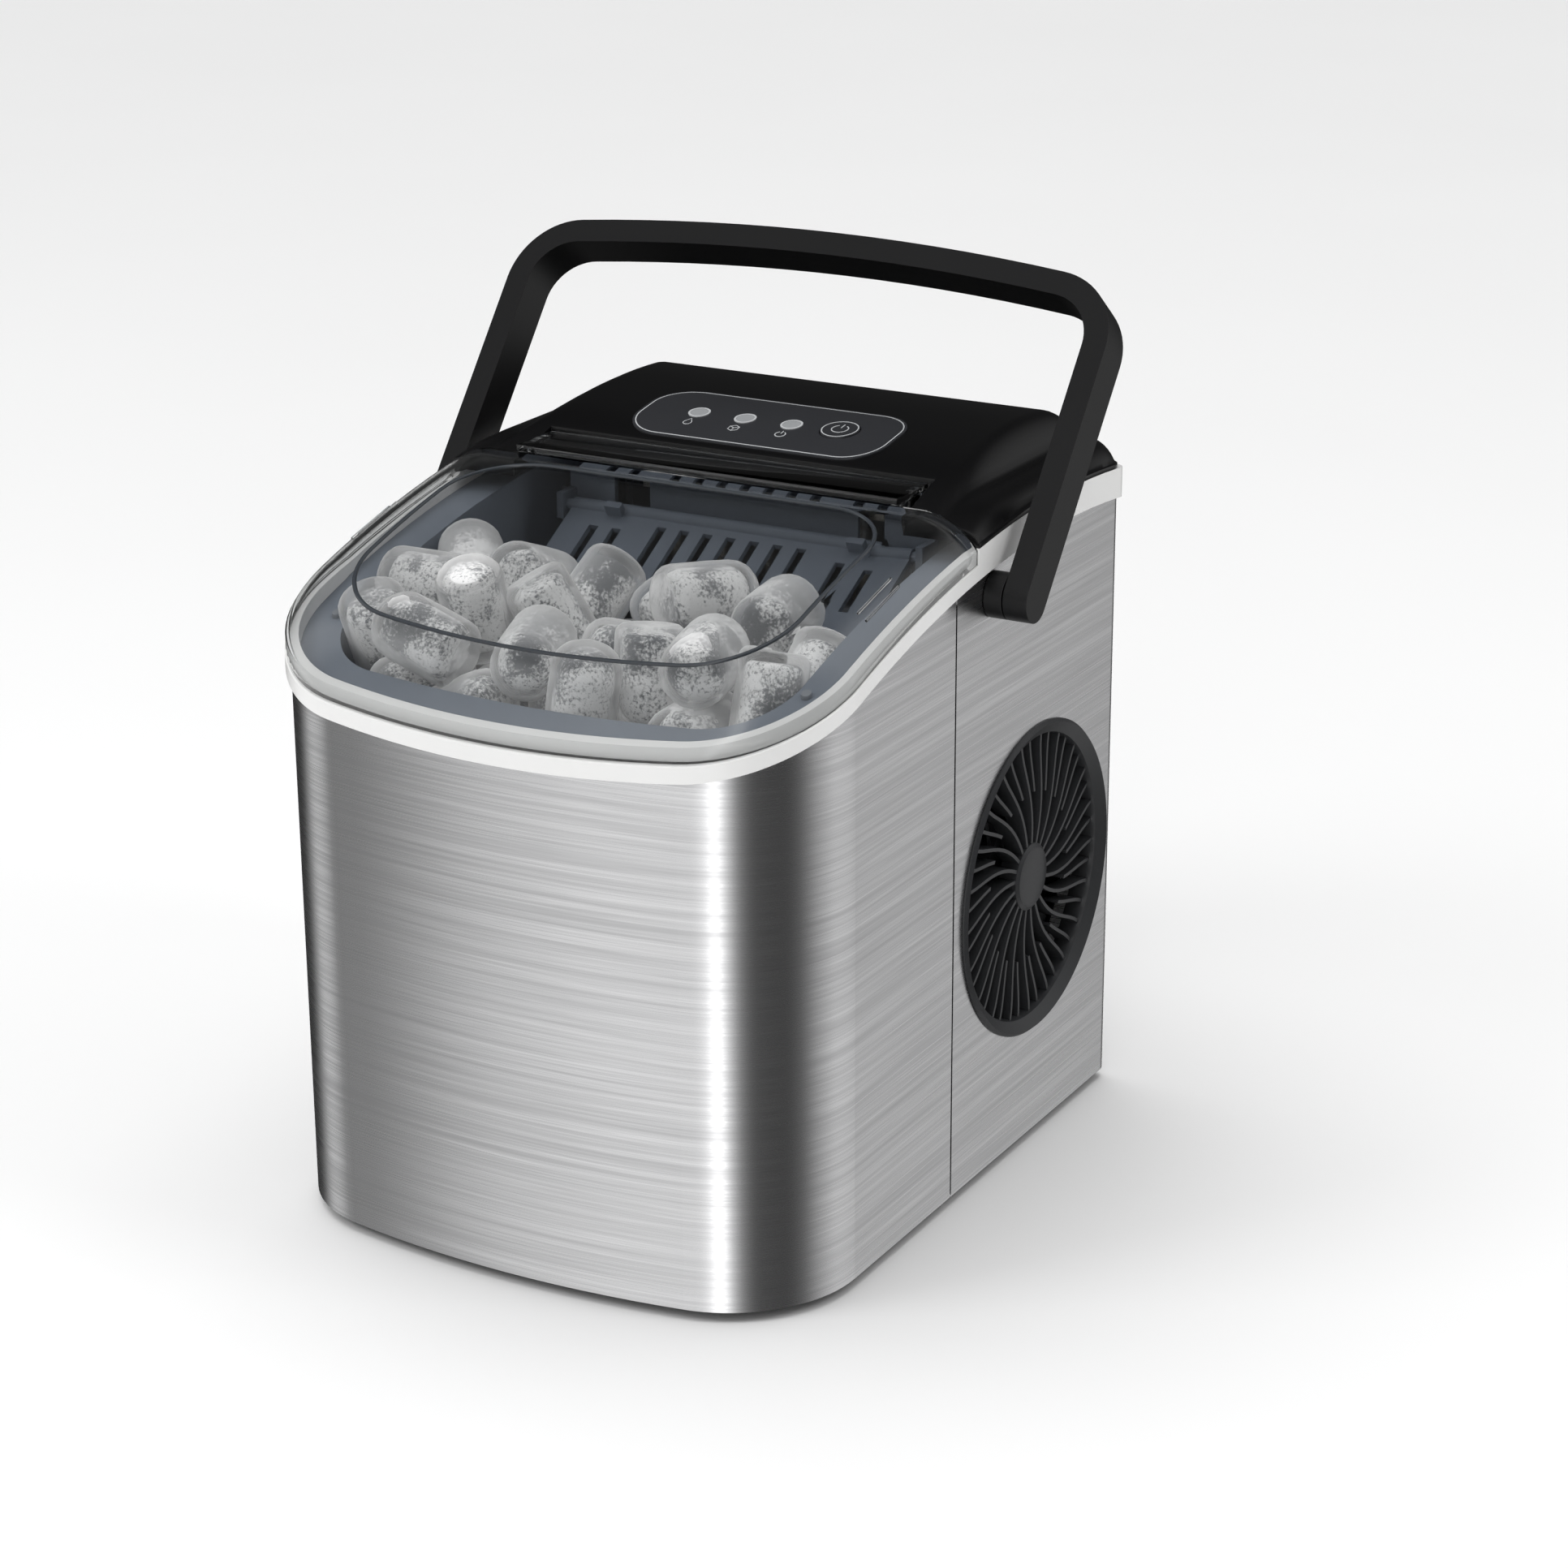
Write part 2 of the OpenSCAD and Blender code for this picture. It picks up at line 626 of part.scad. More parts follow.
module ice_shovel() color([0.45, 0.47, 0.5])
  translate([0, shovel_axis[0], shovel_axis[1]]) rotate([shovel_slope, 0, 0]) difference() {
    union() {
      translate([-shovel_half, -46, -1.2]) cube([2 * shovel_half, 45, 2.4]);
      bar_x(-77.8, 77.8, 0, 0, 2);
      bar_x(-shovel_half, shovel_half, 0, 0, 3);
      // curled lower lip and two small lugs
      bar_x(-shovel_half, shovel_half, -46, 0, 1.8);
      for (s = [-1, 1]) translate([s * 52 - 3.5, -4, 0]) cube([7, 3, 6]);
    }
    for (i = [-3:3]) translate([i * 10 - 2, -36, -5]) cube([4, 30, 10]);
    for (s = [-1, 1], x = [48, 58]) translate([s * x - 2, -32, -5]) cube([4, 22, 10]);
  }

module tray_bearings() color([0.4, 0.42, 0.45])
  for (s = [-1, 1]) difference() {
    translate([s * 61.5 - 1.5, 58, 214]) cube([3, 16, frame_z - 214]);
    bar_x(s * 61.5 - 3, s * 61.5 + 3, tray_axis[0], tray_axis[1], 3.05);
  }

module tray_sector(r)
  intersection() {
    circle(r = r);
    polygon([[0, 0], 3 * r * [-sin(tray_spread), -cos(tray_spread)], [-3 * r, -3 * r],
             [3 * r, -3 * r], 3 * r * [sin(tray_spread), -cos(tray_spread)]]);
  }

module water_tray() color([0.85, 0.87, 0.9])
  translate([0, tray_axis[0], tray_axis[1]]) {
    rotate([90, 0, 90]) difference() {
      translate([0, 0, -tray_half - wall]) linear_extrude(2 * (tray_half + wall))
        tray_sector(tray_r + wall);
      translate([0, 0, -tray_half]) linear_extrude(2 * tray_half) circle(r = tray_r);
    }
    for (s = [-1, 1]) {
      bar_x(s * (tray_half + 1) - 1, s * (tray_half + 1) + 1, 0, 0, 7);
      bar_x(s * 60 - 5, s * 60 + 5, 0, 0, 3);
    }
  }

module tray_motor() color("gray") {
  difference() {
    translate([-90, 54, 208]) cube([22, 26, 28]);
    bar_x(-80, -60, tray_axis[0], tray_axis[1], 2.6);
  }
  bar_x(-76, -65.05, tray_axis[0], tray_axis[1], 2.6);
  // bracket up to the frame
  translate([-81, 60, 236]) cube([13, 14, frame_z - 236]);
}

module ice_full_sensors() color(black)
  for (s = [-1, 1]) {
    translate([s * 90.5 - 1.5, -14, 212]) cube([3, 10, 12]);
    bar_x(s * 88 - 1, s * 88 + 1, -9, 218, 2.5);
  }

module water_level_probe() color("silver") {
  translate([-8, -6.1, 62]) cube([16, 2, 20]);
  for (s = [-1, 1]) translate([s * 4, -8.1, 54]) cylinder(r = 1.5, h = 24);
}

// ---------- water circuit ----------

pump_at = [-84, -60];

module water_pump() color(black) translate([pump_at[0], pump_at[1], 0]) difference() {
  union() {
    translate([0, 0, 8]) cylinder(r = 15, h = 30);
    translate([-2, 0, 30]) rotate([-90, 0, 0]) cylinder(r = 4, h = 24);
    for (a = [0, 180]) rotate(a) translate([0, -4, 5.6]) cube([14, 8, 4]);
  }
  translate([0, 0, 22]) cylinder(r = 12.5, h = 13);
  translate([-2, 0, 30]) rotate([-90, 0, 0]) cylinder(r = 2.5, h = 26);
  translate([0, 0, 12]) cylinder(r = 1.55, h = 12);
}

module pump_impeller() color("white") translate([pump_at[0], pump_at[1], 0]) {
  translate([0, 0, 13]) cylinder(r = 1.5, h = 12);
  translate([0, 0, 23]) cylinder(r = 11, h = 1.6);
  translate([0, 0, 23]) cylinder(r = 3, h = 7);
  for (a = [0:60:359]) rotate(a) translate([2, -0.6, 24]) cube([8.5, 1.2, 5]);
}

module water_hose() color("ghostwhite")
  run([[-86, -36, 30], [-86, -24, 30], [-102, -4, 30], [-102, 116, 30], [-102, 116, 254],
       [hose_end[0], 116, 254], [hose_end[0], hose_end[1], 254], [hose_end[0], hose_end[1], 241]], 3.2);

module drain_fitting() color("white") difference() {
  union() {
    bar_x(-half_w - 0.9, -tub[0] - 6, drain_at[0], drain_at[1], 8);
    bar_x(-half_w - 0.9, -half_w - 0.1, drain_at[0], drain_at[1], 10.5);
  }
  bar_x(-half_w - 5, -tub[0] + 5, drain_at[0], drain_at[1], 5);
}

module drain_plug() color("dimgray") {
  bar_x(-tub[0] - 14, -tub[0] - 4, drain_at[0], drain_at[1], 4.95);
  bar_x(-half_w - 1, -tub[0] - 14, drain_at[0], drain_at[1], 4.2);
  bar_x(-half_w - 3, -half_w - 1, drain_at[0], drain_at[1], 9);
  translate([-half_w - 6.2, drain_at[0] - 7, drain_at[1] - 1.5]) cube([3.4, 14, 3]);
}

// ---------- refrigeration and air ----------

compressor_r = 42;

module compressor() color(black) {
  translate([compressor_at[0], compressor_at[1], 0]) {
    rotate_extrude() intersection() {
      translate([0, 11]) square([60, 140]);
      union() {
        square([compressor_r - 14, 146]);
        translate([compressor_r - 14, 25]) circle(r = 14);
        translate([compressor_r - 14, 132]) circle(r = 14);
        translate([0, 25]) square([compressor_r, 107]);
      }
    }
    // foot plates on the grommets
    for (y = [-22, 22]) difference() {
      translate([-38, y - 5, 11]) cube([76, 10, 2]);
      for (x = [-33, 33]) translate([x, y, 5]) cylinder(r = 2.5, h = 10);
    }
    // terminal cover
    translate([-12, -compressor_r - 5, 60]) cube([24, 12, 34]);
  }
}

module compressor_grommets() color("dimgray")
  for (x = [-33, 33], y = [-22, 22])
    translate([compressor_at[0] + x, compressor_at[1] + y, 8]) {
      cylinder(r = 4.5, h = 3);
      cylinder(r = 2.4, h = 4.5);
    }

coil_x = [46, 58];
coil_z = [58, 76, 94, 112, 130, 148];

module condenser() color([0.75, 0.76, 0.78]) {
  for (i = [0:23]) translate([40, 17 + i * 4, 51]) cube([24, 0.6, 104]);
  for (x = coil_x, z = coil_z)
    translate([x, 12, z]) rotate([-90, 0, 0]) cylinder(r = 3.5, h = 102);
  // end plates
  for (y = [14, 110]) translate([39, y, 49]) cube([26, 1.5, 108]);
}

module fan_shroud() color(black) difference() {
  union() {
    translate([70, 8, 50]) cube([2, 112, 112]);
    bar_x(70, 98, fan_axis[0], fan_axis[1], 54);
    // cheeks that join the shroud to the condenser
    for (y = [8, 118]) translate([65.1, y, 50]) cube([5, 2, 112]);
  }
  difference() {
    bar_x(60, 110, fan_axis[0], fan_axis[1], 52);
    // struts that carry the motor
    translate([70, fan_axis[0] - 60, fan_axis[1] - 3]) cube([3, 120, 6]);
    translate([70, fan_axis[0] - 3, fan_axis[1] - 60]) cube([3, 6, 120]);
    bar_x(70, 73, fan_axis[0], fan_axis[1], 17);
  }
  bar_x(60, 80, fan_axis[0], fan_axis[1], 4);
}

module fan_motor() color("gray") difference() {
  bar_x(73, 84, fan_axis[0], fan_axis[1], 15);
  bar_x(76, 90, fan_axis[0], fan_axis[1], 2.55);
}

module fan_shaft() color("silver") bar_x(77, 97, fan_axis[0], fan_axis[1], 2.5);

module fan_blade() color([0.15, 0.15, 0.16])
  translate([85.5, fan_axis[0], fan_axis[1]]) rotate([90, 0, 90]) difference() {
    union() {
      cylinder(r = 17, h = 13);
      for (i = [0:6]) rotate(i * 360 / 7) intersection() {
        translate([34, 0, 6.5]) rotate([32, 0, 0]) cube([36, 24, 1.4], center = true);
        translate([0, 0, 0.8]) cylinder(r = 50, h = 11.4);
      }
    }
    translate([0, 0, -1]) cylinder(r = 2.5, h = 12.5);
    translate([0, 0, -1]) difference() { cylinder(r = 15, h = 11); cylinder(r = 5, h = 12); }
  }

drier_at = [22, 18];

module filter_drier() color([0.72, 0.45, 0.3]) translate([drier_at[0], drier_at[1], 60]) {
  translate([0, 0, 8]) cylinder(r = 7, h = 40);
  translate([0, 0, 4]) cylinder(r = 4, h = 48);
}

valve_at = [22, 18, 128];

module hot_gas_valve() color("gray") translate(valve_at) {
  cylinder(r = 4, h = 16, center = true);
  translate([0, 0, -1]) rotate([-90, 0, 0]) cylinder(r = 5, h = 26);
  translate([-9, 7, -10]) cube([18, 15, 18]);
}

module refrigerant_pipes() color([0.78, 0.48, 0.32]) {
  top = 153;
  // compressor to the condenser's upper tube
  run([[-40, 78, 145], [-40, 78, top], [32, 78, top], [32, 7, top], [46, 7, top],
       [46, 7, coil_z[5]], [46, 11.9, coil_z[5]]], 1.8);
  // condenser's lower tube to the drier
  run([[46, 11.9, coil_z[0]], [46, 7, coil_z[0]], [22, 7, coil_z[0]], [22, 18, coil_z[0]],
       [22, 18, 63.9]], 1.8);
  // drier to the valve, valve up to the evaporator
  run([[22, 18, 112.2], [22, 18, 119.9]], 1.8);
  run([[22, 18, 136.1], [22, 18, 147], [pipes_x[0], 30, top], [pipes_x[0], 112, top],
       [pipes_x[0], 112, 252], [pipes_x[0], 76, 252], [pipes_x[0], 76, 249]], 1.8);
  // evaporator back to the compressor
  run([[pipes_x[1], 76, 249], [pipes_x[1], 76, 252.1], [pipes_x[1], 112, 252.1],
       [pipes_x[1], 112, top], [pipes_x[1], 100, 140]], 2);
}

// ---------- small parts ----------

module cord_gland() color(black) translate([-74, half_d, 34]) rotate([90, 0, 0]) difference() {
  union() {
    translate([0, 0, -1.8]) cylinder(r = 10, h = 1.8);
    translate([0, 0, -1]) cylinder(r = 7.9, h = 6);
  }
  translate([0, 0, -3]) cylinder(r = 4, h = 12);
}

screws_at = [[-96, 30], [96, 30], [-96, 200], [96, 200], [0, 216]];

module panel_screws() color("dimgray")
  for (p = screws_at) translate([p[0], half_d, p[1]]) rotate([90, 0, 0]) difference() {
    translate([0, 0, -1.6]) cylinder(r = 3.6, h = 1.6);
    translate([0, 0, -2]) rotate(30) cube([4, 0.9, 2], center = true);
  }

base_tray();
rubber_feet();
front_panel();
rear_panel();
top_trim();
vent_grille();
top_cover();
control_overlay();
indicator_lenses();
power_button();
control_board();
power_board();
lid();
lid_hinge_pins();
lid_bumpers();
handle();
handle_pivots();
inner_liner();
insulation_foam();
ice_basket();
mechanism_frame();
evaporator();
drip_guard();
shovel_brackets();
ice_shovel();
tray_bearings();
water_tray();
tray_motor();
ice_full_sensors();
water_level_probe();
water_pump();
pump_impeller();
water_hose();
drain_fitting();
drain_plug();
compressor();
compressor_grommets();
condenser();
fan_shroud();
fan_motor();
fan_shaft();
fan_blade();
filter_drier();
hot_gas_valve();
refrigerant_pipes();
cord_gland();
panel_screws();
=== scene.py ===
"""Countertop ice maker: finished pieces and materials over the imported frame. Metres, +Z up, front -Y."""
import math

import bmesh
import bpy
import numpy as np
from mathutils import Matrix, Vector
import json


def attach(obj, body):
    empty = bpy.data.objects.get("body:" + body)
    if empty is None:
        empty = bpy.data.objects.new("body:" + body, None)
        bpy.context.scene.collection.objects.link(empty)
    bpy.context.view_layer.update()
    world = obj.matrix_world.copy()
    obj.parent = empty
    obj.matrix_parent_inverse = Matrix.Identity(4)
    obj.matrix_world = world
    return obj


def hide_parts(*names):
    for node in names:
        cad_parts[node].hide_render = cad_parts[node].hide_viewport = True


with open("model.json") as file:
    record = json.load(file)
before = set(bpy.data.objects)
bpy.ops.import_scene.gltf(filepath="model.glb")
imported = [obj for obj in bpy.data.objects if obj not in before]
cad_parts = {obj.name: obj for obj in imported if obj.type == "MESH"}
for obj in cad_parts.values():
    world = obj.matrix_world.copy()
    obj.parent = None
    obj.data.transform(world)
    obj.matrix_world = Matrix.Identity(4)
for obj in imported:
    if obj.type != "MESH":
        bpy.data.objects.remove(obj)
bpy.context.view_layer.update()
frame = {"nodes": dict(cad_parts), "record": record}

MM = 0.001

# ---------- driving sizes, in millimetres, as in the part's design ----------

HALF_W = 111.0  # half width over the steel
HALF_D = 134.0  # half depth over the steel
BOW_R = 394.0  # radius of the bowed front
CORNER_R = 50.0  # radius of the front corners
LINE = (76.0, -256.5, 500.0)  # top line's arc: Y, Z and radius
COVER = (98.0, 36.4, 237.7)  # rear cover's upper arc: Y, Z and radius
TRIM_H = 11.5  # height of the white ring over the top line
LID_H = 23.0  # crown of the lid over the top line
LID_EDGE_H = 5.9  # lower edge of the lid's skirt over the top line
LID_END_Y = 8.7  # back end of the lid's dome
LID_T = 2.3  # wall of the lid
CROWN_IN = 21.0  # where the dome's rounding ends, inside the steel line
CROWN_R = 27.3  # radius of that rounding
HINGE = (24.0, 258.5)  # lid hinge, Y and Z
TAB_HALF = 80.5  # half width of the lid's hinge tab
TAB_Y, TAB_Z = (8.8, 33.0), (262.35, 264.75)  # the tab's plate, front to back and bottom to top
EAR_X, EAR_Y, EAR_FOOT = (77.4, 80.4), (9.5, 27.0), 258.6  # hinge ears under the tab
EAR_R = 5.6  # round end of an ear, on the hinge line
RIB_IN, RIB_PITCH = 5.0, 3.2  # grip ribs: first one inside the steel line, and their pitch
LAMPS_X = (-31.0, -11.0, 9.0)
LAMP_Y = 60.0
BUTTON = (29.0, 61.0)
OVERLAY = (-1.0, 60.0, 108.0, 42.0, 16.0)  # middle X and Y, width, depth, corner radius
COVER_FRONT, COVER_BACK, COVER_HALF = 9.5, 136.0, 113.0  # rear cover's ends in Y and half width
COVER_EDGE = 1.7  # upright edge of the rear cover over the white ring
COVER_ROLL, ROLL_Z = 20.0, 253.4  # radius that rolls its back down, and that roll's centre height
SHOULDER_X, SHOULDER_Z = 100.0, 262.0  # where the shoulders start to round, and their height
SHOULDER_R = 13.0  # that rounding's radius
COVER_CORNER = 14.0  # radius of its rear corners in plan
COVER_T = 2.2  # its wall
NOTCH_HALF, NOTCH_Y = 82.0, 35.4  # the notch that the lid's tab turns in
BULLET_R = 12.3  # radius of an ice bullet
BULLET_L = 37.0  # its length
ICE_FLOOR = 150.0  # level that the ice rests on: only the top of the heap is made, and it is empty below
BASKET_RIM = 188.0  # height over which the ice may spread past the basket's walls


# ---------- small helpers ----------


def linear(code):
    """An sRGB hex colour as linear RGBA."""
    channels = [int(code[i : i + 2], 16) / 255 for i in (1, 3, 5)]
    return tuple(c / 12.92 if c <= 0.04045 else ((c + 0.055) / 1.055) ** 2.4 for c in channels) + (1.0,)


def add(tree, kind, inputs=None, **settings):
    """Adds a shader node, with its settings and its inputs as values or links."""
    node = tree.nodes.new("ShaderNode" + kind)
    for key, value in settings.items():
        setattr(node, key, value)
    for key, value in (inputs or {}).items():
        if isinstance(value, bpy.types.NodeSocket):
            tree.links.new(value, node.inputs[key])
        else:
            node.inputs[key].default_value = value
    return node


def top_line(y, h):
    """Height of the case's top line raised by h, all in millimetres."""
    return LINE[1] + math.sqrt((LINE[2] + h) ** 2 - (y - LINE[0]) ** 2)


def cover_top(y, raised):
    """Height of the rear cover's upper skin raised by a little."""
    return COVER[1] + math.sqrt((COVER[2] + raised) ** 2 - (y - COVER[0]) ** 2)


def body_named(node):
    """The body that a CAD node belongs to."""
    for body, members in frame["record"]["behaviour"]["bodies"].items():
        if node in members:
            return body


def piece_from(bm, name, material, body, stands_for=(), sharp=35.0):
    """Writes a bmesh out as a finished piece that rides on a body."""
    for face in bm.faces:
        face.smooth = True
    for edge in bm.edges:
        if len(edge.link_faces) == 2 and edge.calc_face_angle(0.0) > math.radians(sharp):
            edge.smooth = False
    mesh = bpy.data.meshes.new(name)
    bm.to_mesh(mesh)
    bm.free()
    mesh.materials.append(material)
    piece = bpy.data.objects.new(name, mesh)
    bpy.context.scene.collection.objects.link(piece)
    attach(piece, body)
    if stands_for:
        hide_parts(*stands_for)
    return piece


def node_copy(node):
    """A bmesh of a CAD node with its loose triangles joined and flat areas made single faces."""
    bm = bmesh.new()
    bm.from_mesh(frame["nodes"][node].data)
    bmesh.ops.remove_doubles(bm, verts=bm.verts, dist=0.003 * MM)
    bmesh.ops.dissolve_limit(bm, angle_limit=math.radians(0.4), verts=bm.verts, edges=bm.edges)
    return bm


def softened_edges(bm, width, segments, sharp=38.0):
    """Rounds every edge that turns by more than sharp degrees."""
    edges = [e for e in bm.edges if len(e.link_faces) == 2 and e.calc_face_angle(0.0) > math.radians(sharp)]
    bmesh.ops.bevel(
        bm, geom=edges, offset=width * MM, offset_type="OFFSET", segments=segments, profile=0.5,
        affect="EDGES", clamp_overlap=True, material=-1,
    )


def refined(node, material, width, segments=2):
    """A CAD node's finished piece: the same shape with its edges broken as moulding or pressing leaves them."""
    bm = node_copy(node)
    softened_edges(bm, width, segments)
    piece = piece_from(bm, node + "_finished", material, body_named(node), (node,))
    weigh = piece.modifiers.new("even_shading", "WEIGHTED_NORMAL")
    weigh.keep_sharp = True
    return piece


# ---------- materials ----------


def new_material(name):
    """An empty node material."""
    material = bpy.data.materials.new(name)
    material.use_nodes = True
    material.node_tree.nodes.clear()
    return material, material.node_tree


def moulded(name, colour, shade, roughness, grain, depth, cloud=45.0, coat=0.0, specular=0.5):
    """Injection-moulded plastic: spark-eroded grain of a size in mm, and a tone that wanders a little."""
    material, tree = new_material(name)
    place = add(tree, "TexCoord").outputs["Object"]
    grains = add(tree, "TexNoise", {"Vector": place, "Scale": 1000 / grain, "Detail": 3.0, "Roughness": 0.6})
    drift = add(tree, "TexNoise", {"Vector": place, "Scale": 1000 / cloud, "Detail": 2.0})
    tone = add(tree, "Mix", {"Factor": drift.outputs["Fac"], 6: linear(colour), 7: linear(shade)},
               data_type="RGBA")
    gloss = add(tree, "MapRange", {"Value": grains.outputs["Fac"], "To Min": roughness - 0.05,
                                   "To Max": roughness + 0.07})
    bump = add(tree, "Bump", {"Height": grains.outputs["Fac"], "Strength": depth, "Distance": 0.00006})
    skin = add(tree, "BsdfPrincipled", {
        "Base Color": tone.outputs[2], "Roughness": gloss.outputs["Result"], "Normal": bump.outputs["Normal"],
        "IOR": 1.52, "Coat Weight": coat, "Coat Roughness": 0.12, "Specular IOR Level": specular,
    })
    add(tree, "OutputMaterial", {"Surface": skin.outputs[0]})
    return material


def brushed_stainless():
    """Stainless sheet, belt-brushed along its length: level lines under a soft sheen that spreads upright."""
    material, tree = new_material("brushed_stainless_sheet")
    place = add(tree, "TexCoord").outputs["Object"]
    # line pitch and length in mm, drawn a little coarser than the real 0.3 mm pitch so that it shows
    fine_place = add(tree, "Mapping", {"Vector": place, "Scale": (1000 / 60, 1000 / 60, 1000 / 0.55)})
    wide_place = add(tree, "Mapping", {"Vector": place, "Scale": (1000 / 220, 1000 / 220, 1000 / 1.7)})
    fine = add(tree, "TexNoise", {"Vector": fine_place.outputs[0], "Scale": 1.0, "Detail": 4.0, "Roughness": 0.65})
    wide = add(tree, "TexNoise", {"Vector": wide_place.outputs[0], "Scale": 1.0, "Detail": 3.0})
    both = add(tree, "Math", {0: fine.outputs["Fac"], 1: wide.outputs["Fac"]}, operation="MULTIPLY")
    tone = add(tree, "ValToRGB", {"Fac": both.outputs[0]})
    tone.color_ramp.elements[0].position = 0.12
    tone.color_ramp.elements[0].color = linear("#cfcfd0")
    tone.color_ramp.elements[1].position = 0.40
    tone.color_ramp.elements[1].color = linear("#ebebec")
    gloss = add(tree, "MapRange", {"Value": both.outputs[0], "From Min": 0.1, "From Max": 0.42,
                                   "To Min": 0.34, "To Max": 0.20})
    bump = add(tree, "Bump", {"Height": fine.outputs["Fac"], "Strength": 0.18, "Distance": 0.00008})
    around = add(tree, "Tangent", direction_type="RADIAL", axis="Z")
    steel = add(tree, "BsdfPrincipled", {
        "Base Color": tone.outputs["Color"], "Metallic": 1.0, "Roughness": gloss.outputs["Result"],
        "Normal": bump.outputs["Normal"], "Anisotropic": 0.8,
        "Anisotropic Rotation": 0.25, "Tangent": around.outputs[0],
    })
    add(tree, "OutputMaterial", {"Surface": steel.outputs[0]})
    return material


def metal(name, colour, shade, roughness, grain, stretch=(1.0, 1.0, 1.0)):
    """Bare or plated metal: fine marks of a size in mm, drawn out along the working direction."""
    material, tree = new_material(name)
    place = add(tree, "TexCoord").outputs["Object"]
    drawn = add(tree, "Mapping", {"Vector": place, "Scale": tuple(1000 / grain / s for s in stretch)})
    marks = add(tree, "TexNoise", {"Vector": drawn.outputs[0], "Scale": 1.0, "Detail": 4.0})
    tone = add(tree, "ValToRGB", {"Fac": marks.outputs["Fac"]})
    tone.color_ramp.elements[0].position = 0.3
    tone.color_ramp.elements[0].color = linear(shade)
    tone.color_ramp.elements[1].position = 0.7
    tone.color_ramp.elements[1].color = linear(colour)
    gloss = add(tree, "MapRange", {"Value": marks.outputs["Fac"], "To Min": roughness + 0.08,
                                   "To Max": roughness - 0.06})
    bump = add(tree, "Bump", {"Height": marks.outputs["Fac"], "Strength": 0.15, "Distance": 0.00006})
    skin = add(tree, "BsdfPrincipled", {
        "Base Color": tone.outputs["Color"], "Metallic": 1.0, "Roughness": gloss.outputs["Result"],
        "Normal": bump.outputs["Normal"],
    })
    add(tree, "OutputMaterial", {"Surface": skin.outputs[0]})
    return material


def let_lamps_through(tree, shader, tint):
    """Glass that lamps shine through: shadow rays pass it with a tint."""
    rays = add(tree, "LightPath")
    clear = add(tree, "BsdfTransparent", {"Color": linear(tint)})
    both = add(tree, "MixShader", {0: rays.outputs["Is Shadow Ray"], 1: shader.outputs[0], 2: clear.outputs[0]})
    add(tree, "OutputMaterial", {"Surface": both.outputs[0]})


def clear_lid_plastic():
    """Clear SAN tinted a little smoky, moulded and polished: sharp reflections, a few faint wipe marks."""
    material, tree = new_material("clear_smoky_san")
    place = add(tree, "TexCoord").outputs["Object"]
    wipes = add(tree, "TexNoise", {"Vector": place, "Scale": 1000 / 30, "Detail": 5.0, "Distortion": 1.5})
    gloss = add(tree, "MapRange", {"Value": wipes.outputs["Fac"], "From Min": 0.4, "From Max": 0.8,
                                   "To Min": 0.01, "To Max": 0.05})
    glass = add(tree, "BsdfPrincipled", {
        "Base Color": linear("#f2f3f3"), "Roughness": gloss.outputs["Result"], "IOR": 1.49,
        "Transmission Weight": 1.0,
    })
    let_lamps_through(tree, glass, "#f6f6f6")
    return material


def ice_shell():
    """Clear ice round a bullet: wet and smooth, a little uneven where it froze in layers."""
    material, tree = new_material("clear_wet_ice")
    place = add(tree, "TexCoord").outputs["Object"]
    layers = add(tree, "TexNoise", {"Vector": place, "Scale": 1000 / 7, "Detail": 3.0})
    gloss = add(tree, "MapRange", {"Value": layers.outputs["Fac"], "To Min": 0.03, "To Max": 0.16})
    bump = add(tree, "Bump", {"Height": layers.outputs["Fac"], "Strength": 0.2, "Distance": 0.0003})
    clear = add(tree, "BsdfPrincipled", {
        "Base Color": linear("#fbfbfb"), "Roughness": gloss.outputs["Result"], "IOR": 1.12,
        "Transmission Weight": 1.0, "Normal": bump.outputs["Normal"],
    })
    frosted = add(tree, "BsdfPrincipled", {
        "Base Color": linear("#fafafa"), "Roughness": 0.3, "IOR": 1.2, "Normal": bump.outputs["Normal"],
    })
    rim = add(tree, "LayerWeight", {"Blend": 0.3})
    both = add(tree, "MixShader", {0: rim.outputs["Facing"], 1: clear.outputs[0], 2: frosted.outputs[0]})
    let_lamps_through(tree, both, "#f6f6f6")
    return material


def ice_core():
    """Frosted middle of a bullet: white with trapped air in specks about 1 mm across."""
    material, tree = new_material("frosted_air_core")
    place = add(tree, "TexCoord").outputs["Object"]
    specks = add(tree, "TexNoise", {"Vector": place, "Scale": 1000 / 1.3, "Detail": 4.0, "Roughness": 0.7})
    drifts = add(tree, "TexNoise", {"Vector": place, "Scale": 1000 / 16, "Detail": 2.0})
    mixed = add(tree, "Math", {0: specks.outputs["Fac"], 1: drifts.outputs["Fac"]}, operation="MULTIPLY")
    tone = add(tree, "ValToRGB", {"Fac": mixed.outputs[0]})
    tone.color_ramp.elements[0].position = 0.20
    tone.color_ramp.elements[0].color = linear("#85878a")
    tone.color_ramp.elements[1].position = 0.29
    tone.color_ramp.elements[1].color = linear("#ffffff")
    bump = add(tree, "Bump", {"Height": specks.outputs["Fac"], "Strength": 0.5, "Distance": 0.0005})
    frost = add(tree, "BsdfPrincipled", {
        "Base Color": tone.outputs["Color"], "Roughness": 0.6, "Normal": bump.outputs["Normal"], "IOR": 1.31,
    })
    add(tree, "OutputMaterial", {"Surface": frost.outputs[0]})
    return material


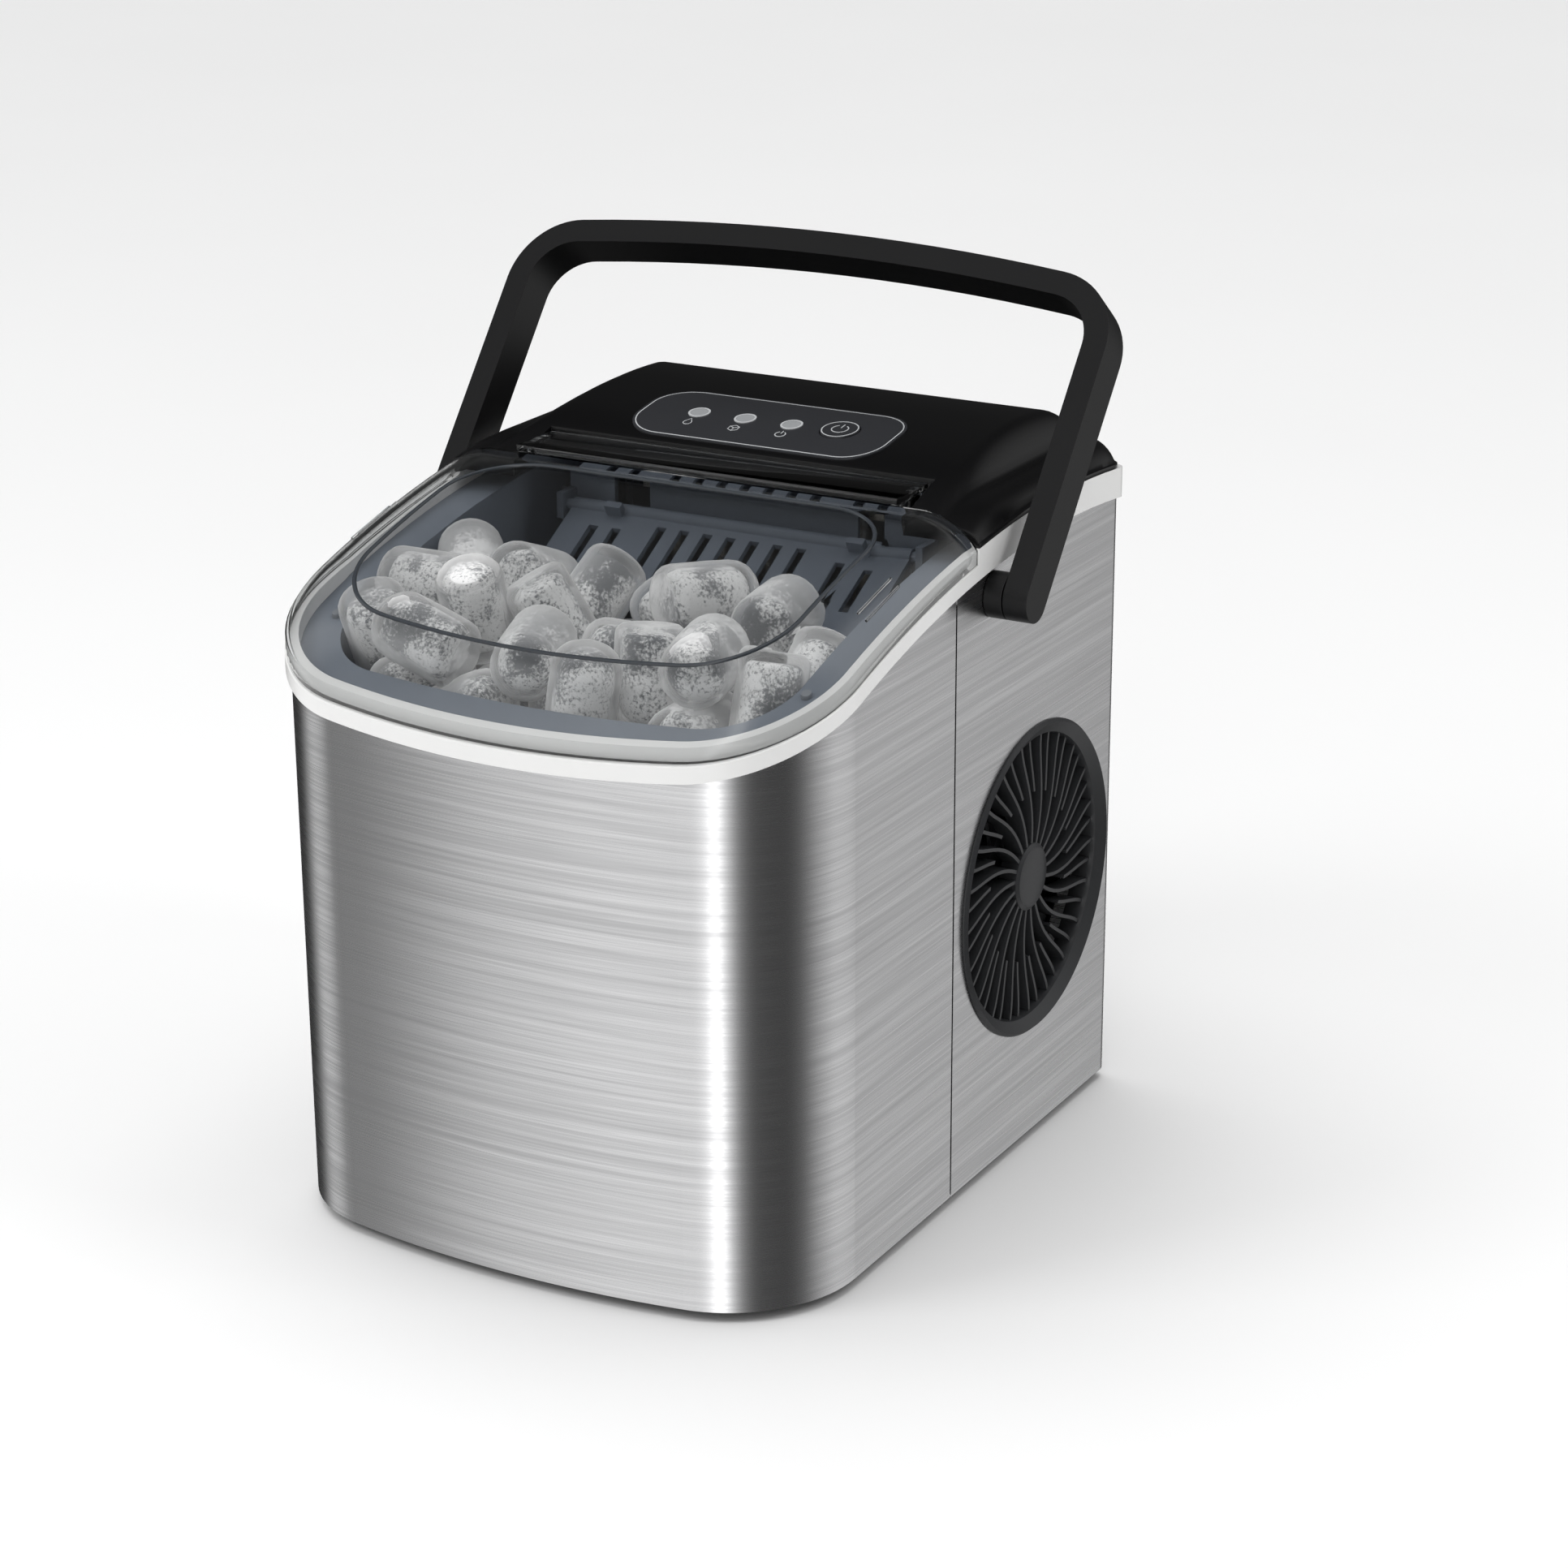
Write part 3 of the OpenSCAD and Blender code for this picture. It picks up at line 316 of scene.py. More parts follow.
def circuit_board():
    """FR4 with green solder mask: copper runs a few mm wide show as lighter bands under the mask."""
    material, tree = new_material("green_solder_mask")
    place = add(tree, "TexCoord").outputs["Object"]
    runs = add(tree, "TexBrick", {"Vector": place, "Scale": 1000 / 9.0, "Mortar Size": 0.06,
                                  "Color1": linear("#12452c"), "Color2": linear("#0f3c27"),
                                  "Mortar": linear("#2a7a4c")})
    specks = add(tree, "TexNoise", {"Vector": place, "Scale": 1000 / 0.8, "Detail": 2.0})
    gloss = add(tree, "MapRange", {"Value": specks.outputs["Fac"], "To Min": 0.3, "To Max": 0.45})
    mask = add(tree, "BsdfPrincipled", {"Base Color": runs.outputs["Color"], "Roughness": gloss.outputs["Result"],
                                        "IOR": 1.5})
    add(tree, "OutputMaterial", {"Surface": mask.outputs[0]})
    return material


FINISHES = {
    "steel": brushed_stainless(),
    "clear_lid": clear_lid_plastic(),
    "black_shell": moulded("satin_black_abs", "#080809", "#0b0b0c", 0.30, 0.5, 0.10, specular=0.4),
    "white_trim": moulded("glossy_white_abs", "#f4f4f3", "#ebebea", 0.22, 0.6, 0.05),
    "grille_black": moulded("grained_dark_abs", "#2b2c2e", "#323335", 0.42, 0.35, 0.25),
    "overlay": moulded("dark_gray_pet_film", "#2a2b2e", "#303134", 0.33, 0.3, 0.12),
    "lens": moulded("frosted_lamp_lens", "#9a9c9e", "#8a8c8e", 0.35, 0.4, 0.1),
    "print": moulded("light_gray_print", "#b9bbbd", "#aeb0b2", 0.45, 0.3, 0.05),
    "rubber": moulded("black_nitrile_rubber", "#161617", "#1d1d1e", 0.6, 0.4, 0.3),
    "gray_rubber": moulded("gray_silicone_rubber", "#8b8f94", "#7f8388", 0.5, 0.4, 0.2),
    "handle_black": moulded("grained_black_pp", "#0e0e0f", "#131314", 0.42, 0.45, 0.3, specular=0.3),
    "liner_gray": moulded("gray_polystyrene_liner", "#7c838d", "#737a84", 0.38, 0.6, 0.1),
    "foam": moulded("white_bead_foam", "#eeeeec", "#dcdcd8", 0.8, 3.5, 0.9),
    "basket_gray": moulded("light_gray_pp", "#b4b8bd", "#a7abb1", 0.42, 0.5, 0.2),
    "mech_gray": moulded("dark_gray_abs", "#3b3f45", "#33373c", 0.42, 0.4, 0.2),
    "mech_light": moulded("mid_gray_abs", "#6b727c", "#616873", 0.4, 0.4, 0.2),
    "pcb": circuit_board(),
    "hose_silicone": moulded("milky_silicone", "#d9d8d2", "#cbcac3", 0.4, 0.6, 0.15),
    "pin_steel": metal("ground_steel_pin", "#c6c7c8", "#9fa0a1", 0.25, 0.4, (12.0, 1.0, 1.0)),
    "evap_metal": metal("nickel_plated_copper", "#d6d2c9", "#b5afa4", 0.28, 2.0),
    "copper": metal("drawn_copper_tube", "#d98f66", "#b76c48", 0.3, 1.2, (1.0, 1.0, 6.0)),
    "aluminium": metal("mill_aluminium_fins", "#d4d6d8", "#b2b4b7", 0.35, 0.8, (1.0, 1.0, 10.0)),
    "motor_metal": metal("zinc_plated_steel", "#a9acb0", "#85888c", 0.4, 3.0),
    "compressor_black": moulded("black_enamel", "#0b0b0c", "#111112", 0.25, 1.5, 0.15, coat=0.4),
    "screw_steel": metal("black_zinc_screw", "#4a4b4d", "#343537", 0.35, 0.5),
}

# ---------- camera, floor and light ----------


def main_camera():
    """A long lens from the front right, looking down by about 20 degrees."""
    place = Vector((0.6704, -1.1155, 0.6139))
    yaw, pitch, roll = math.radians(-29.518), math.radians(19.77), math.radians(-0.314)
    ahead = Vector((math.sin(yaw) * math.cos(pitch), math.cos(yaw) * math.cos(pitch), -math.sin(pitch)))
    level = Vector((math.cos(yaw), -math.sin(yaw), 0.0))
    up = level.cross(ahead)
    right = level * math.cos(roll) + up * math.sin(roll)
    top = -level * math.sin(roll) + up * math.cos(roll)
    data = bpy.data.cameras.new("camera")
    data.lens = 85.16
    data.sensor_width = 36.0
    data.clip_end = 50.0
    camera = bpy.data.objects.new("camera", data)
    camera.matrix_world = Matrix((
        (right.x, top.x, -ahead.x, place.x), (right.y, top.y, -ahead.y, place.y),
        (right.z, top.z, -ahead.z, place.z), (0.0, 0.0, 0.0, 1.0),
    ))
    bpy.context.scene.collection.objects.link(camera)
    bpy.context.scene.camera = camera


# Studio surroundings by direction: degrees round from the front, positive to the right, and gray level
SURROUND = [
    (-180, 0.20), (-108, 0.20), (-98, 0.46), (-88, 0.72), (-75, 0.68), (-61, 0.38), (-52, 0.48), (-36, 0.76),
    (-20, 0.84), (4, 0.85), (12, 0.95), (17, 1.22), (23, 1.22), (29, 0.80), (38, 0.48), (48, 0.30), (78, 0.25),
    (92, 0.34), (106, 0.58), (124, 0.74), (150, 0.72), (166, 0.42), (180, 0.20),
]
STEEL_TONE = 0.80  # the sheet's own reflectance, which the surroundings make up for
CEILING = (0.8, 0.8, 0.8, 1.0)  # straight overhead
BACKDROP = (0.93, 0.93, 0.93, 1.0)  # behind the object, as the camera sees it


def studio_world():
    """Soft gray surroundings, brighter where the big soft boxes stand, and a plain pale backdrop."""
    world = bpy.data.worlds.new("studio")
    world.use_nodes = True
    tree = world.node_tree
    tree.nodes.clear()
    way = add(tree, "SeparateXYZ", {0: add(tree, "TexCoord").outputs["Generated"]})
    front = add(tree, "Math", {0: way.outputs["Y"], 1: -1.0}, operation="MULTIPLY")
    turn = add(tree, "Math", {0: way.outputs["X"], 1: front.outputs[0]}, operation="ARCTAN2")
    along = add(tree, "MapRange", {"Value": turn.outputs[0], "From Min": -math.pi, "From Max": math.pi})
    level = add(tree, "ValToRGB", {"Fac": along.outputs["Result"]})
    stops = level.color_ramp.elements
    while len(stops) < len(SURROUND):
        stops.new(0.5)
    for stop, (angle, gray) in zip(stops, SURROUND):
        stop.position = (angle + 180) / 360
        bright = (gray**2.2) / STEEL_TONE
        stop.color = (bright, bright, bright, 1.0)
    above = add(tree, "MapRange", {"Value": way.outputs["Z"], "From Min": 0.88, "From Max": 0.99})
    dome = add(tree, "Mix", {0: above.outputs["Result"], 6: level.outputs["Color"], 7: CEILING}, data_type="RGBA")
    lit = add(tree, "Background", {"Color": dome.outputs[2], "Strength": 1.0})
    plain = add(tree, "Background", {"Color": BACKDROP, "Strength": 1.0})
    rays = add(tree, "LightPath")
    both = add(tree, "MixShader", {0: rays.outputs["Is Camera Ray"], 1: lit.outputs[0], 2: plain.outputs[0]})
    add(tree, "OutputWorld", {"Surface": both.outputs[0]})
    bpy.context.scene.world = world


def soft_box(name, place, aim, width, height, power):
    """An area lamp that faces a point. Gloss and clear pieces don't mirror it as a hard-edged shape."""
    data = bpy.data.lights.new(name, "AREA")
    data.shape = "RECTANGLE"
    data.size, data.size_y = width, height
    data.energy = power
    lamp = bpy.data.objects.new(name, data)
    lamp.location = place
    lamp.rotation_mode = "QUATERNION"
    lamp.rotation_quaternion = (Vector(aim) - Vector(place)).to_track_quat("-Z", "Y")
    lamp.visible_camera = False
    lamp.visible_glossy = False
    lamp.visible_transmission = False
    bpy.context.scene.collection.objects.link(lamp)


def overhead_light():
    """A very wide lamp overhead, even all over the floor."""
    data = bpy.data.lights.new("overhead", "SUN")
    data.energy = 1.9
    data.angle = math.radians(70)
    lamp = bpy.data.objects.new("overhead", data)
    lamp.rotation_euler = (math.radians(-12), math.radians(-14), 0.0)
    lamp.visible_glossy = False
    lamp.visible_transmission = False
    bpy.context.scene.collection.objects.link(lamp)


def pale_floor():
    """A wide matte floor. Its mirror image is kept out of the steel, as black and white cards do in a studio."""
    material, tree = new_material("pale_studio_floor")
    place = add(tree, "TexCoord").outputs["Object"]
    cloud = add(tree, "TexNoise", {"Vector": place, "Scale": 2.0, "Detail": 2.0})
    tone = add(tree, "ValToRGB", {"Fac": cloud.outputs["Fac"]})
    tone.color_ramp.elements[0].color = linear("#f1f1f1")
    tone.color_ramp.elements[1].color = linear("#f5f5f5")
    paper = add(tree, "BsdfPrincipled", {"Base Color": tone.outputs["Color"], "Roughness": 0.5,
                                         "Specular IOR Level": 0.3})
    add(tree, "OutputMaterial", {"Surface": paper.outputs[0]})
    bm = bmesh.new()
    bmesh.ops.create_grid(bm, x_segments=1, y_segments=1, size=8.0)
    mesh = bpy.data.meshes.new("floor")
    bm.to_mesh(mesh)
    bm.free()
    mesh.materials.append(material)
    floor = bpy.data.objects.new("floor", mesh)
    floor.visible_glossy = False
    bpy.context.scene.collection.objects.link(floor)


bpy.context.scene.view_settings.view_transform = "Standard"
main_camera()
studio_world()
pale_floor()
overhead_light()
soft_box("front_left_box", (-1.1, -1.3, 1.5), (0.0, 0.0, 0.2), 0.7, 0.7, 9.0)
soft_box("right_box", (1.5, 0.2, 1.5), (0.0, 0.0, 0.2), 0.5, 0.9, 6.0)

# ---------- outline of the lid and its skin ----------


def front_run(half, front, bow, corner, start):
    """The right half of a bowed outline, from start on the side to the middle of the front."""
    cx = half - corner
    bow_y = bow - front
    cy = bow_y - math.sqrt((bow - corner) ** 2 - cx * cx)
    turn = math.atan2(bow_y - cy, cx)
    points = [(half, start + (cy - start) * i / 12) for i in range(12)]
    points += [(cx + corner * math.cos(turn * i / 16), cy - corner * math.sin(turn * i / 16)) for i in range(17)]
    for i in range(1, 11):
        a = turn + (math.pi / 2 - turn) * i / 10
        points.append((bow * math.cos(a), bow_y - bow * math.sin(a)))
    return points


def lid_course(inset):
    """The dome's open outline at an inset from the steel line, from the right rear round the front."""
    right = front_run(HALF_W - inset, HALF_D - inset, BOW_R - inset, CORNER_R - inset, LID_END_Y)
    return right + [(-x, y) for x, y in reversed(right[:-1])]


def window_course(grow):
    """The closed outline of the lid's flat window, with round rear corners."""
    half, rear, corner = 88.0 + grow, 0.0 + grow, 30.0 + grow
    right = [((half - corner) * i / 6, rear) for i in range(1, 6)]
    for i in range(12):
        a = math.radians(90 - 7.5 * i)
        right.append((half - corner + corner * math.cos(a), rear - corner + corner * math.sin(a)))
    right += front_run(half, 113.0 + grow, 360.0 + grow, 34.0 + grow, rear - corner)
    return right + [(-x, y) for x, y in reversed(right[:-1])] + [(0.0, rear)]


def crown_height(inset):
    """Height of the dome's skin over the top line at an inset."""
    if inset >= CROWN_IN:
        return LID_H
    return LID_H - CROWN_R + math.sqrt(CROWN_R**2 - (CROWN_IN - inset) ** 2)


def lid_dome():
    """The clear dome: an upright skirt, then a shoulder that rounds over into the crown."""
    edge_turn = math.asin((CROWN_IN + 1.6) / CROWN_R)
    courses = [(lid_course(-1.6), LID_EDGE_H)]
    for i in range(15):
        inset = CROWN_IN - CROWN_R * math.sin(edge_turn * (1 - i / 14))
        courses.append((lid_course(inset), crown_height(inset)))
    bm = bmesh.new()
    start, h = courses[0]
    row = [bm.verts.new((x * MM, y * MM, top_line(y, h) * MM)) for x, y in start]
    for points, h in courses[1:]:
        above = [bm.verts.new((x * MM, y * MM, top_line(y, h) * MM)) for x, y in points]
        for i in range(len(row) - 1):
            bm.faces.new((row[i], row[i + 1], above[i + 1], above[i]))
        row = above
    last = len(row) - 1
    for i in range(last // 2 - 1):
        bm.faces.new((row[i], row[i + 1], row[last - 1 - i], row[last - i]))
    bm.faces.new((row[last // 2 - 1], row[last // 2], row[last // 2 + 1]))
    bmesh.ops.recalc_face_normals(bm, faces=bm.faces)
    return bm


def box_into(bm, low, high):
    """Adds a box between two corners in millimetres."""
    size = [b - a for a, b in zip(low, high)]
    middle = [(a + b) / 2 for a, b in zip(low, high)]
    matrix = Matrix.Translation([m * MM for m in middle]) @ Matrix.Diagonal([s * MM for s in size] + [1.0])
    return bmesh.ops.create_cube(bm, size=1.0, matrix=matrix)["verts"]


def drum_into(bm, x0, x1, y, z, radius, segments=48):
    """Adds a round bar along X."""
    matrix = Matrix.Translation(((x0 + x1) / 2 * MM, y * MM, z * MM)) @ Matrix.Rotation(math.pi / 2, 4, "Y")
    bmesh.ops.create_cone(bm, cap_ends=True, segments=segments, radius1=radius * MM, radius2=radius * MM,
                          depth=abs(x1 - x0) * MM, matrix=matrix)


def build_lid():
    """The clear dome, its hinge tab with two ears, and two grip ribs on each side."""
    bm = lid_dome()
    if sum(f.normal.z for f in bm.faces) < 0:
        bmesh.ops.reverse_faces(bm, faces=bm.faces)
    dome = piece_from(bm, "lid_dome", FINISHES["clear_lid"], "lid", ("lid",), sharp=50.0)
    wall = dome.modifiers.new("wall", "SOLIDIFY")
    wall.thickness = LID_T * MM
    wall.offset = -1.0
    wall.use_even_offset = True
    bm = bmesh.new()
    box_into(bm, (-TAB_HALF, TAB_Y[0], TAB_Z[0]), (TAB_HALF, TAB_Y[1], TAB_Z[1]))
    for s in (-1, 1):
        low, high = sorted(s * x for x in EAR_X)
        box_into(bm, (low, EAR_Y[0], EAR_FOOT), (high, EAR_Y[1], TAB_Z[0] - 0.05))
        drum_into(bm, low, high, HINGE[0], HINGE[1], EAR_R)
    softened_edges(bm, 0.35, 3)
    piece_from(bm, "lid_hinge_tab", FINISHES["clear_lid"], "lid", ())
    bm = bmesh.new()
    for s in (-1, 1):
        for k in (0, 1):
            inset = RIB_IN + RIB_PITCH * k
            x = s * (HALF_W - inset)
            h = crown_height(inset)
            rib = box_into(bm, (x - 0.35, -62.0, -0.4), (x + 0.35, -38.0, 0.45))
            for v in rib:
                v.co.z += top_line(v.co.y / MM, h) * MM
    piece_from(bm, "lid_grip_ribs", FINISHES["clear_lid"], "lid", ())


def window_line():
    """The line round the window where the clear lid has a pressed step: a ridge painted dark grey, as painted
    shade for how the step looks.
    """
    curve = bpy.data.curves.new("window_line", "CURVE")
    curve.dimensions = "3D"
    curve.bevel_depth = 0.85 * MM
    curve.bevel_resolution = 2
    path = window_course(0.3)
    spline = curve.splines.new("POLY")
    spline.points.add(len(path) - 1)
    for point, (x, y) in zip(spline.points, path):
        point.co = (x * MM, y * MM, top_line(y, LID_H - 0.1) * MM, 1.0)
    spline.use_cyclic_u = True
    holder = bpy.data.objects.new("window_line_path", curve)
    bm = bmesh.new()
    bm.from_mesh(holder.to_mesh())
    holder.to_mesh_clear()
    bpy.data.objects.remove(holder)
    bmesh.ops.remove_doubles(bm, verts=bm.verts, dist=0.01 * MM)
    # painted shade: dark grey plastic stands in for the darkness that the pressed step in the clear lid shows
    step_shade = moulded("painted_step_shade_line", "#34383d", "#3c4045", 0.12, 0.6, 0.05)
    piece_from(bm, "lid_window_line", step_shade, "lid", (), sharp=80.0)


# ---------- rear cover and controls ----------


def smooth_min(a, b, blend):
    """The lower of two heights, with the corner between them rounded off."""
    near = max(blend - abs(a - b), 0.0) / blend
    return min(a, b) - near * near * blend / 4


def cover_height(x, y):
    """Height of the rear cover: an arc front to back, a hump, and shoulders rolled down to the ring."""
    reach = abs(x)
    arc = cover_top(y, 0.0)
    if y > COVER_BACK - COVER_ROLL:
        arc = ROLL_Z + math.sqrt(max(COVER_ROLL**2 - (y - COVER_BACK + COVER_ROLL) ** 2, 0.0))
    if reach < SHOULDER_X:
        side = SHOULDER_Z + max(SHOULDER_X - 4.0 - reach, 0.0) * 22.0 / 16.0
    else:
        side = SHOULDER_Z - SHOULDER_R + math.sqrt(max(SHOULDER_R**2 - (reach - SHOULDER_X) ** 2, 0.0))
    return max(smooth_min(arc, side, 7.0), top_line(y, TRIM_H + COVER_EDGE))


def cover_half_width(y):
    """Half width of the cover's plan, which closes in round its rear corners."""
    past = max(y - (COVER_BACK - COVER_CORNER), 0.0)
    return COVER_HALF - COVER_CORNER + math.sqrt(max(COVER_CORNER**2 - past * past, 0.0))


def build_cover():
    """The rear cover, moulded in one, with a notch for the lid's tab and holes under the overlay."""
    across = [SHOULDER_X * i / 60 for i in range(60)]
    across += [SHOULDER_X + (COVER_HALF - SHOULDER_X) * math.sin(math.radians(9 * i)) for i in range(11)]
    across = [-x for x in reversed(across[1:])] + across
    along = [COVER_FRONT + (COVER_BACK - COVER_ROLL - COVER_FRONT) * i / 70 for i in range(70)]
    along += [COVER_BACK - COVER_ROLL + COVER_ROLL * math.sin(math.radians(7.5 * i)) for i in range(13)]
    bm = bmesh.new()
    bmesh.ops.create_grid(bm, x_segments=len(across) - 1, y_segments=len(along) - 1, size=1.0)
    for vert in bm.verts:
        i = round((vert.co.x + 1) / 2 * (len(across) - 1))
        j = round((vert.co.y + 1) / 2 * (len(along) - 1))
        vert.co = (across[i] * MM, along[j] * MM, 0.0)
    cuts = (((NOTCH_HALF, 0, 0), (1, 0, 0)), ((-NOTCH_HALF, 0, 0), (1, 0, 0)), ((0, NOTCH_Y, 0), (0, 1, 0)))
    for line, normal in cuts:
        bmesh.ops.bisect_plane(bm, geom=bm.verts[:] + bm.edges[:] + bm.faces[:], dist=0.01 * MM,
                               plane_co=[v * MM for v in line], plane_no=normal)
    holes = [(x, LAMP_Y, 3.6) for x in LAMPS_X] + [(BUTTON[0], BUTTON[1], 7.9)]
    gone = []
    for face in bm.faces:
        x, y = face.calc_center_median().x / MM, face.calc_center_median().y / MM
        in_notch = abs(x) < NOTCH_HALF and y < NOTCH_Y
        if in_notch or any(math.hypot(x - a, y - b) < r + 1.1 for a, b, r in holes):
            gone.append(face)
    bmesh.ops.delete(bm, geom=gone, context="FACES")
    for vert in bm.verts:
        x, y = vert.co.x / MM, vert.co.y / MM
        vert.co = (x * cover_half_width(y) / COVER_HALF * MM, y * MM, cover_height(x, y) * MM)
    rim = [e for e in bm.edges if len(e.link_faces) == 1]
    rim = [e for e in rim if not any(math.hypot(e.verts[0].co.x / MM - a, e.verts[0].co.y / MM - b) < r + 4
                                     for a, b, r in holes)]
    walls = bmesh.ops.extrude_edge_only(bm, edges=rim)["geom"]
    for vert in (g for g in walls if isinstance(g, bmesh.types.BMVert)):
        vert.co.z = top_line(vert.co.y / MM, TRIM_H + 0.1) * MM
    bmesh.ops.remove_doubles(bm, verts=bm.verts, dist=0.02 * MM)
    bmesh.ops.recalc_face_normals(bm, faces=bm.faces)
    if sum(f.normal.z for f in bm.faces) < 0:
        bmesh.ops.reverse_faces(bm, faces=bm.faces)
    softened_edges(bm, 0.5, 2, 55.0)
    cover = piece_from(bm, "rear_cover", FINISHES["black_shell"], "case", ("top_cover",),
                       sharp=60.0)
    wall = cover.modifiers.new("wall", "SOLIDIFY")
    wall.thickness = COVER_T * MM
    wall.offset = -1.0


def draped(bm, raised):
    """Bends flat work drawn at z 0 onto the cover's arc, raised over its skin by millimetres."""
    for v in bm.verts:
        v.co.z = cover_top(v.co.y / MM, raised + v.co.z / MM) * MM


def ring_into(bm, x, y, inner, outer, segments=64, start=0.0, sweep=360.0, thick=0.12):
    """Adds a flat ring, or part of one, in millimetres."""
    closed = sweep >= 360.0
    steps = segments if closed else segments + 1
    base = []
    for i in range(steps):
        a = math.radians(start + sweep * i / segments)
        spots = [(x + r * math.cos(a), y + r * math.sin(a)) for r in (inner, outer)]
        base.append([bm.verts.new((u * MM, v * MM, 0.0)) for u, v in spots])
    pairs = zip(base, base[1:] + base[:1]) if closed else zip(base, base[1:])
    faces = [bm.faces.new((a[0], a[1], b[1], b[0])) for a, b in pairs]
    lift_into(bm, faces, thick)


def lift_into(bm, faces, thick):
    """Gives flat faces a thickness upwards."""
    made = bmesh.ops.extrude_face_region(bm, geom=faces)["geom"]
    bmesh.ops.translate(bm, verts=[g for g in made if isinstance(g, bmesh.types.BMVert)], vec=(0, 0, thick * MM))


def path_ring_into(bm, outer, inner, thick=0.1):
    """Adds a flat band between two outlines with the same number of points."""
    rows = [[bm.verts.new((x * MM, y * MM, 0.0)) for x, y in line] for line in (inner, outer)]
    n = len(rows[0])
    faces = [bm.faces.new((rows[0][i], rows[1][i], rows[1][(i + 1) % n], rows[0][(i + 1) % n])) for i in range(n)]
    lift_into(bm, faces, thick)


def round_rect(inset):
    """The overlay's outline, moved inwards."""
    x0, y0, w, d, r = OVERLAY
    points = []
    for k, (sx, sy) in enumerate(((1, 1), (-1, 1), (-1, -1), (1, -1))):
        cx, cy = x0 + sx * (w / 2 - r), y0 + sy * (d / 2 - r)
        for i in range(13):
            a = math.radians(90 * k + 7.5 * i)
            points.append((cx + (r - inset) * math.cos(a), cy + (r - inset) * math.sin(a)))
    return points


def bar_into(bm, x, y, width, depth, turn=0.0, thick=0.12):
    """Adds a flat bar."""
    matrix = Matrix.Translation((x * MM, y * MM, 0.0)) @ Matrix.Rotation(math.radians(turn), 4, "Z")
    verts = bmesh.ops.create_grid(bm, x_segments=1, y_segments=1, size=0.5,
                                  matrix=matrix @ Matrix.Diagonal((width * MM, depth * MM, 1.0, 1.0)))["verts"]
    lift_into(bm, list({f for v in verts for f in v.link_faces}), thick)


def drop_icon(bm, x, y):
    """A water drop."""
    inner, outer = [], []
    for r, line in ((1.45, inner), (1.8, outer)):
        for i in range(24):
            a = math.radians(-215 + 250 * i / 23)
            line.append((x + r * math.cos(a), y - 0.5 + r * math.sin(a)))
        line.append((x, y + 1.3 + r))
    path_ring_into(bm, outer, inner)


def cube_icon(bm, x, y):
    """An ice cube seen from a corner."""
    corners = [(math.sin(math.radians(60 * i)), math.cos(math.radians(60 * i))) for i in range(6)]
    inner, outer = ([(x + r * u, y + r * v) for u, v in corners] for r in (2.1, 2.45))
    path_ring_into(bm, outer, inner)
    for a in (90, 210, 330):
        back = math.radians(a + 180)
        bar_into(bm, x + 1.1 * math.cos(back), y + 1.1 * math.sin(back), 2.1, 0.32, a)


def power_icon(bm, x, y, r):
    """A broken ring with an upright stroke."""
    ring_into(bm, x, y, r - 0.4, r, 40, 120.0, 300.0)
    bar_into(bm, x, y + r * 0.75, 0.4, r * 0.95)


def build_controls():
    """What is printed on the overlay and the button, and the raised rims of the three lamps."""
    bm = bmesh.new()
    path_ring_into(bm, round_rect(1.0), round_rect(1.45))
    drop_icon(bm, LAMPS_X[0], LAMP_Y - 8.6)
    cube_icon(bm, LAMPS_X[1], LAMP_Y - 8.8)
    power_icon(bm, LAMPS_X[2], LAMP_Y - 8.8, 2.2)
    draped(bm, 0.48)
    bmesh.ops.recalc_face_normals(bm, faces=bm.faces)
    piece_from(bm, "overlay_print", FINISHES["print"], "case", ())
    bm = bmesh.new()
    for x in LAMPS_X:
        ring_into(bm, x, LAMP_Y, 3.5, 4.3, 48, thick=0.35)
    draped(bm, 0.45)
    bmesh.ops.recalc_face_normals(bm, faces=bm.faces)
    piece_from(bm, "lamp_rims", FINISHES["print"], "case", ())
    bm = bmesh.new()
    ring_into(bm, BUTTON[0], BUTTON[1], 6.7, 7.15, 64)
    power_icon(bm, BUTTON[0], BUTTON[1], 3.4)
    draped(bm, 0.98)
    bmesh.ops.recalc_face_normals(bm, faces=bm.faces)
    piece_from(bm, "button_print", FINISHES["print"], "power_button", ())


# ---------- ice ----------


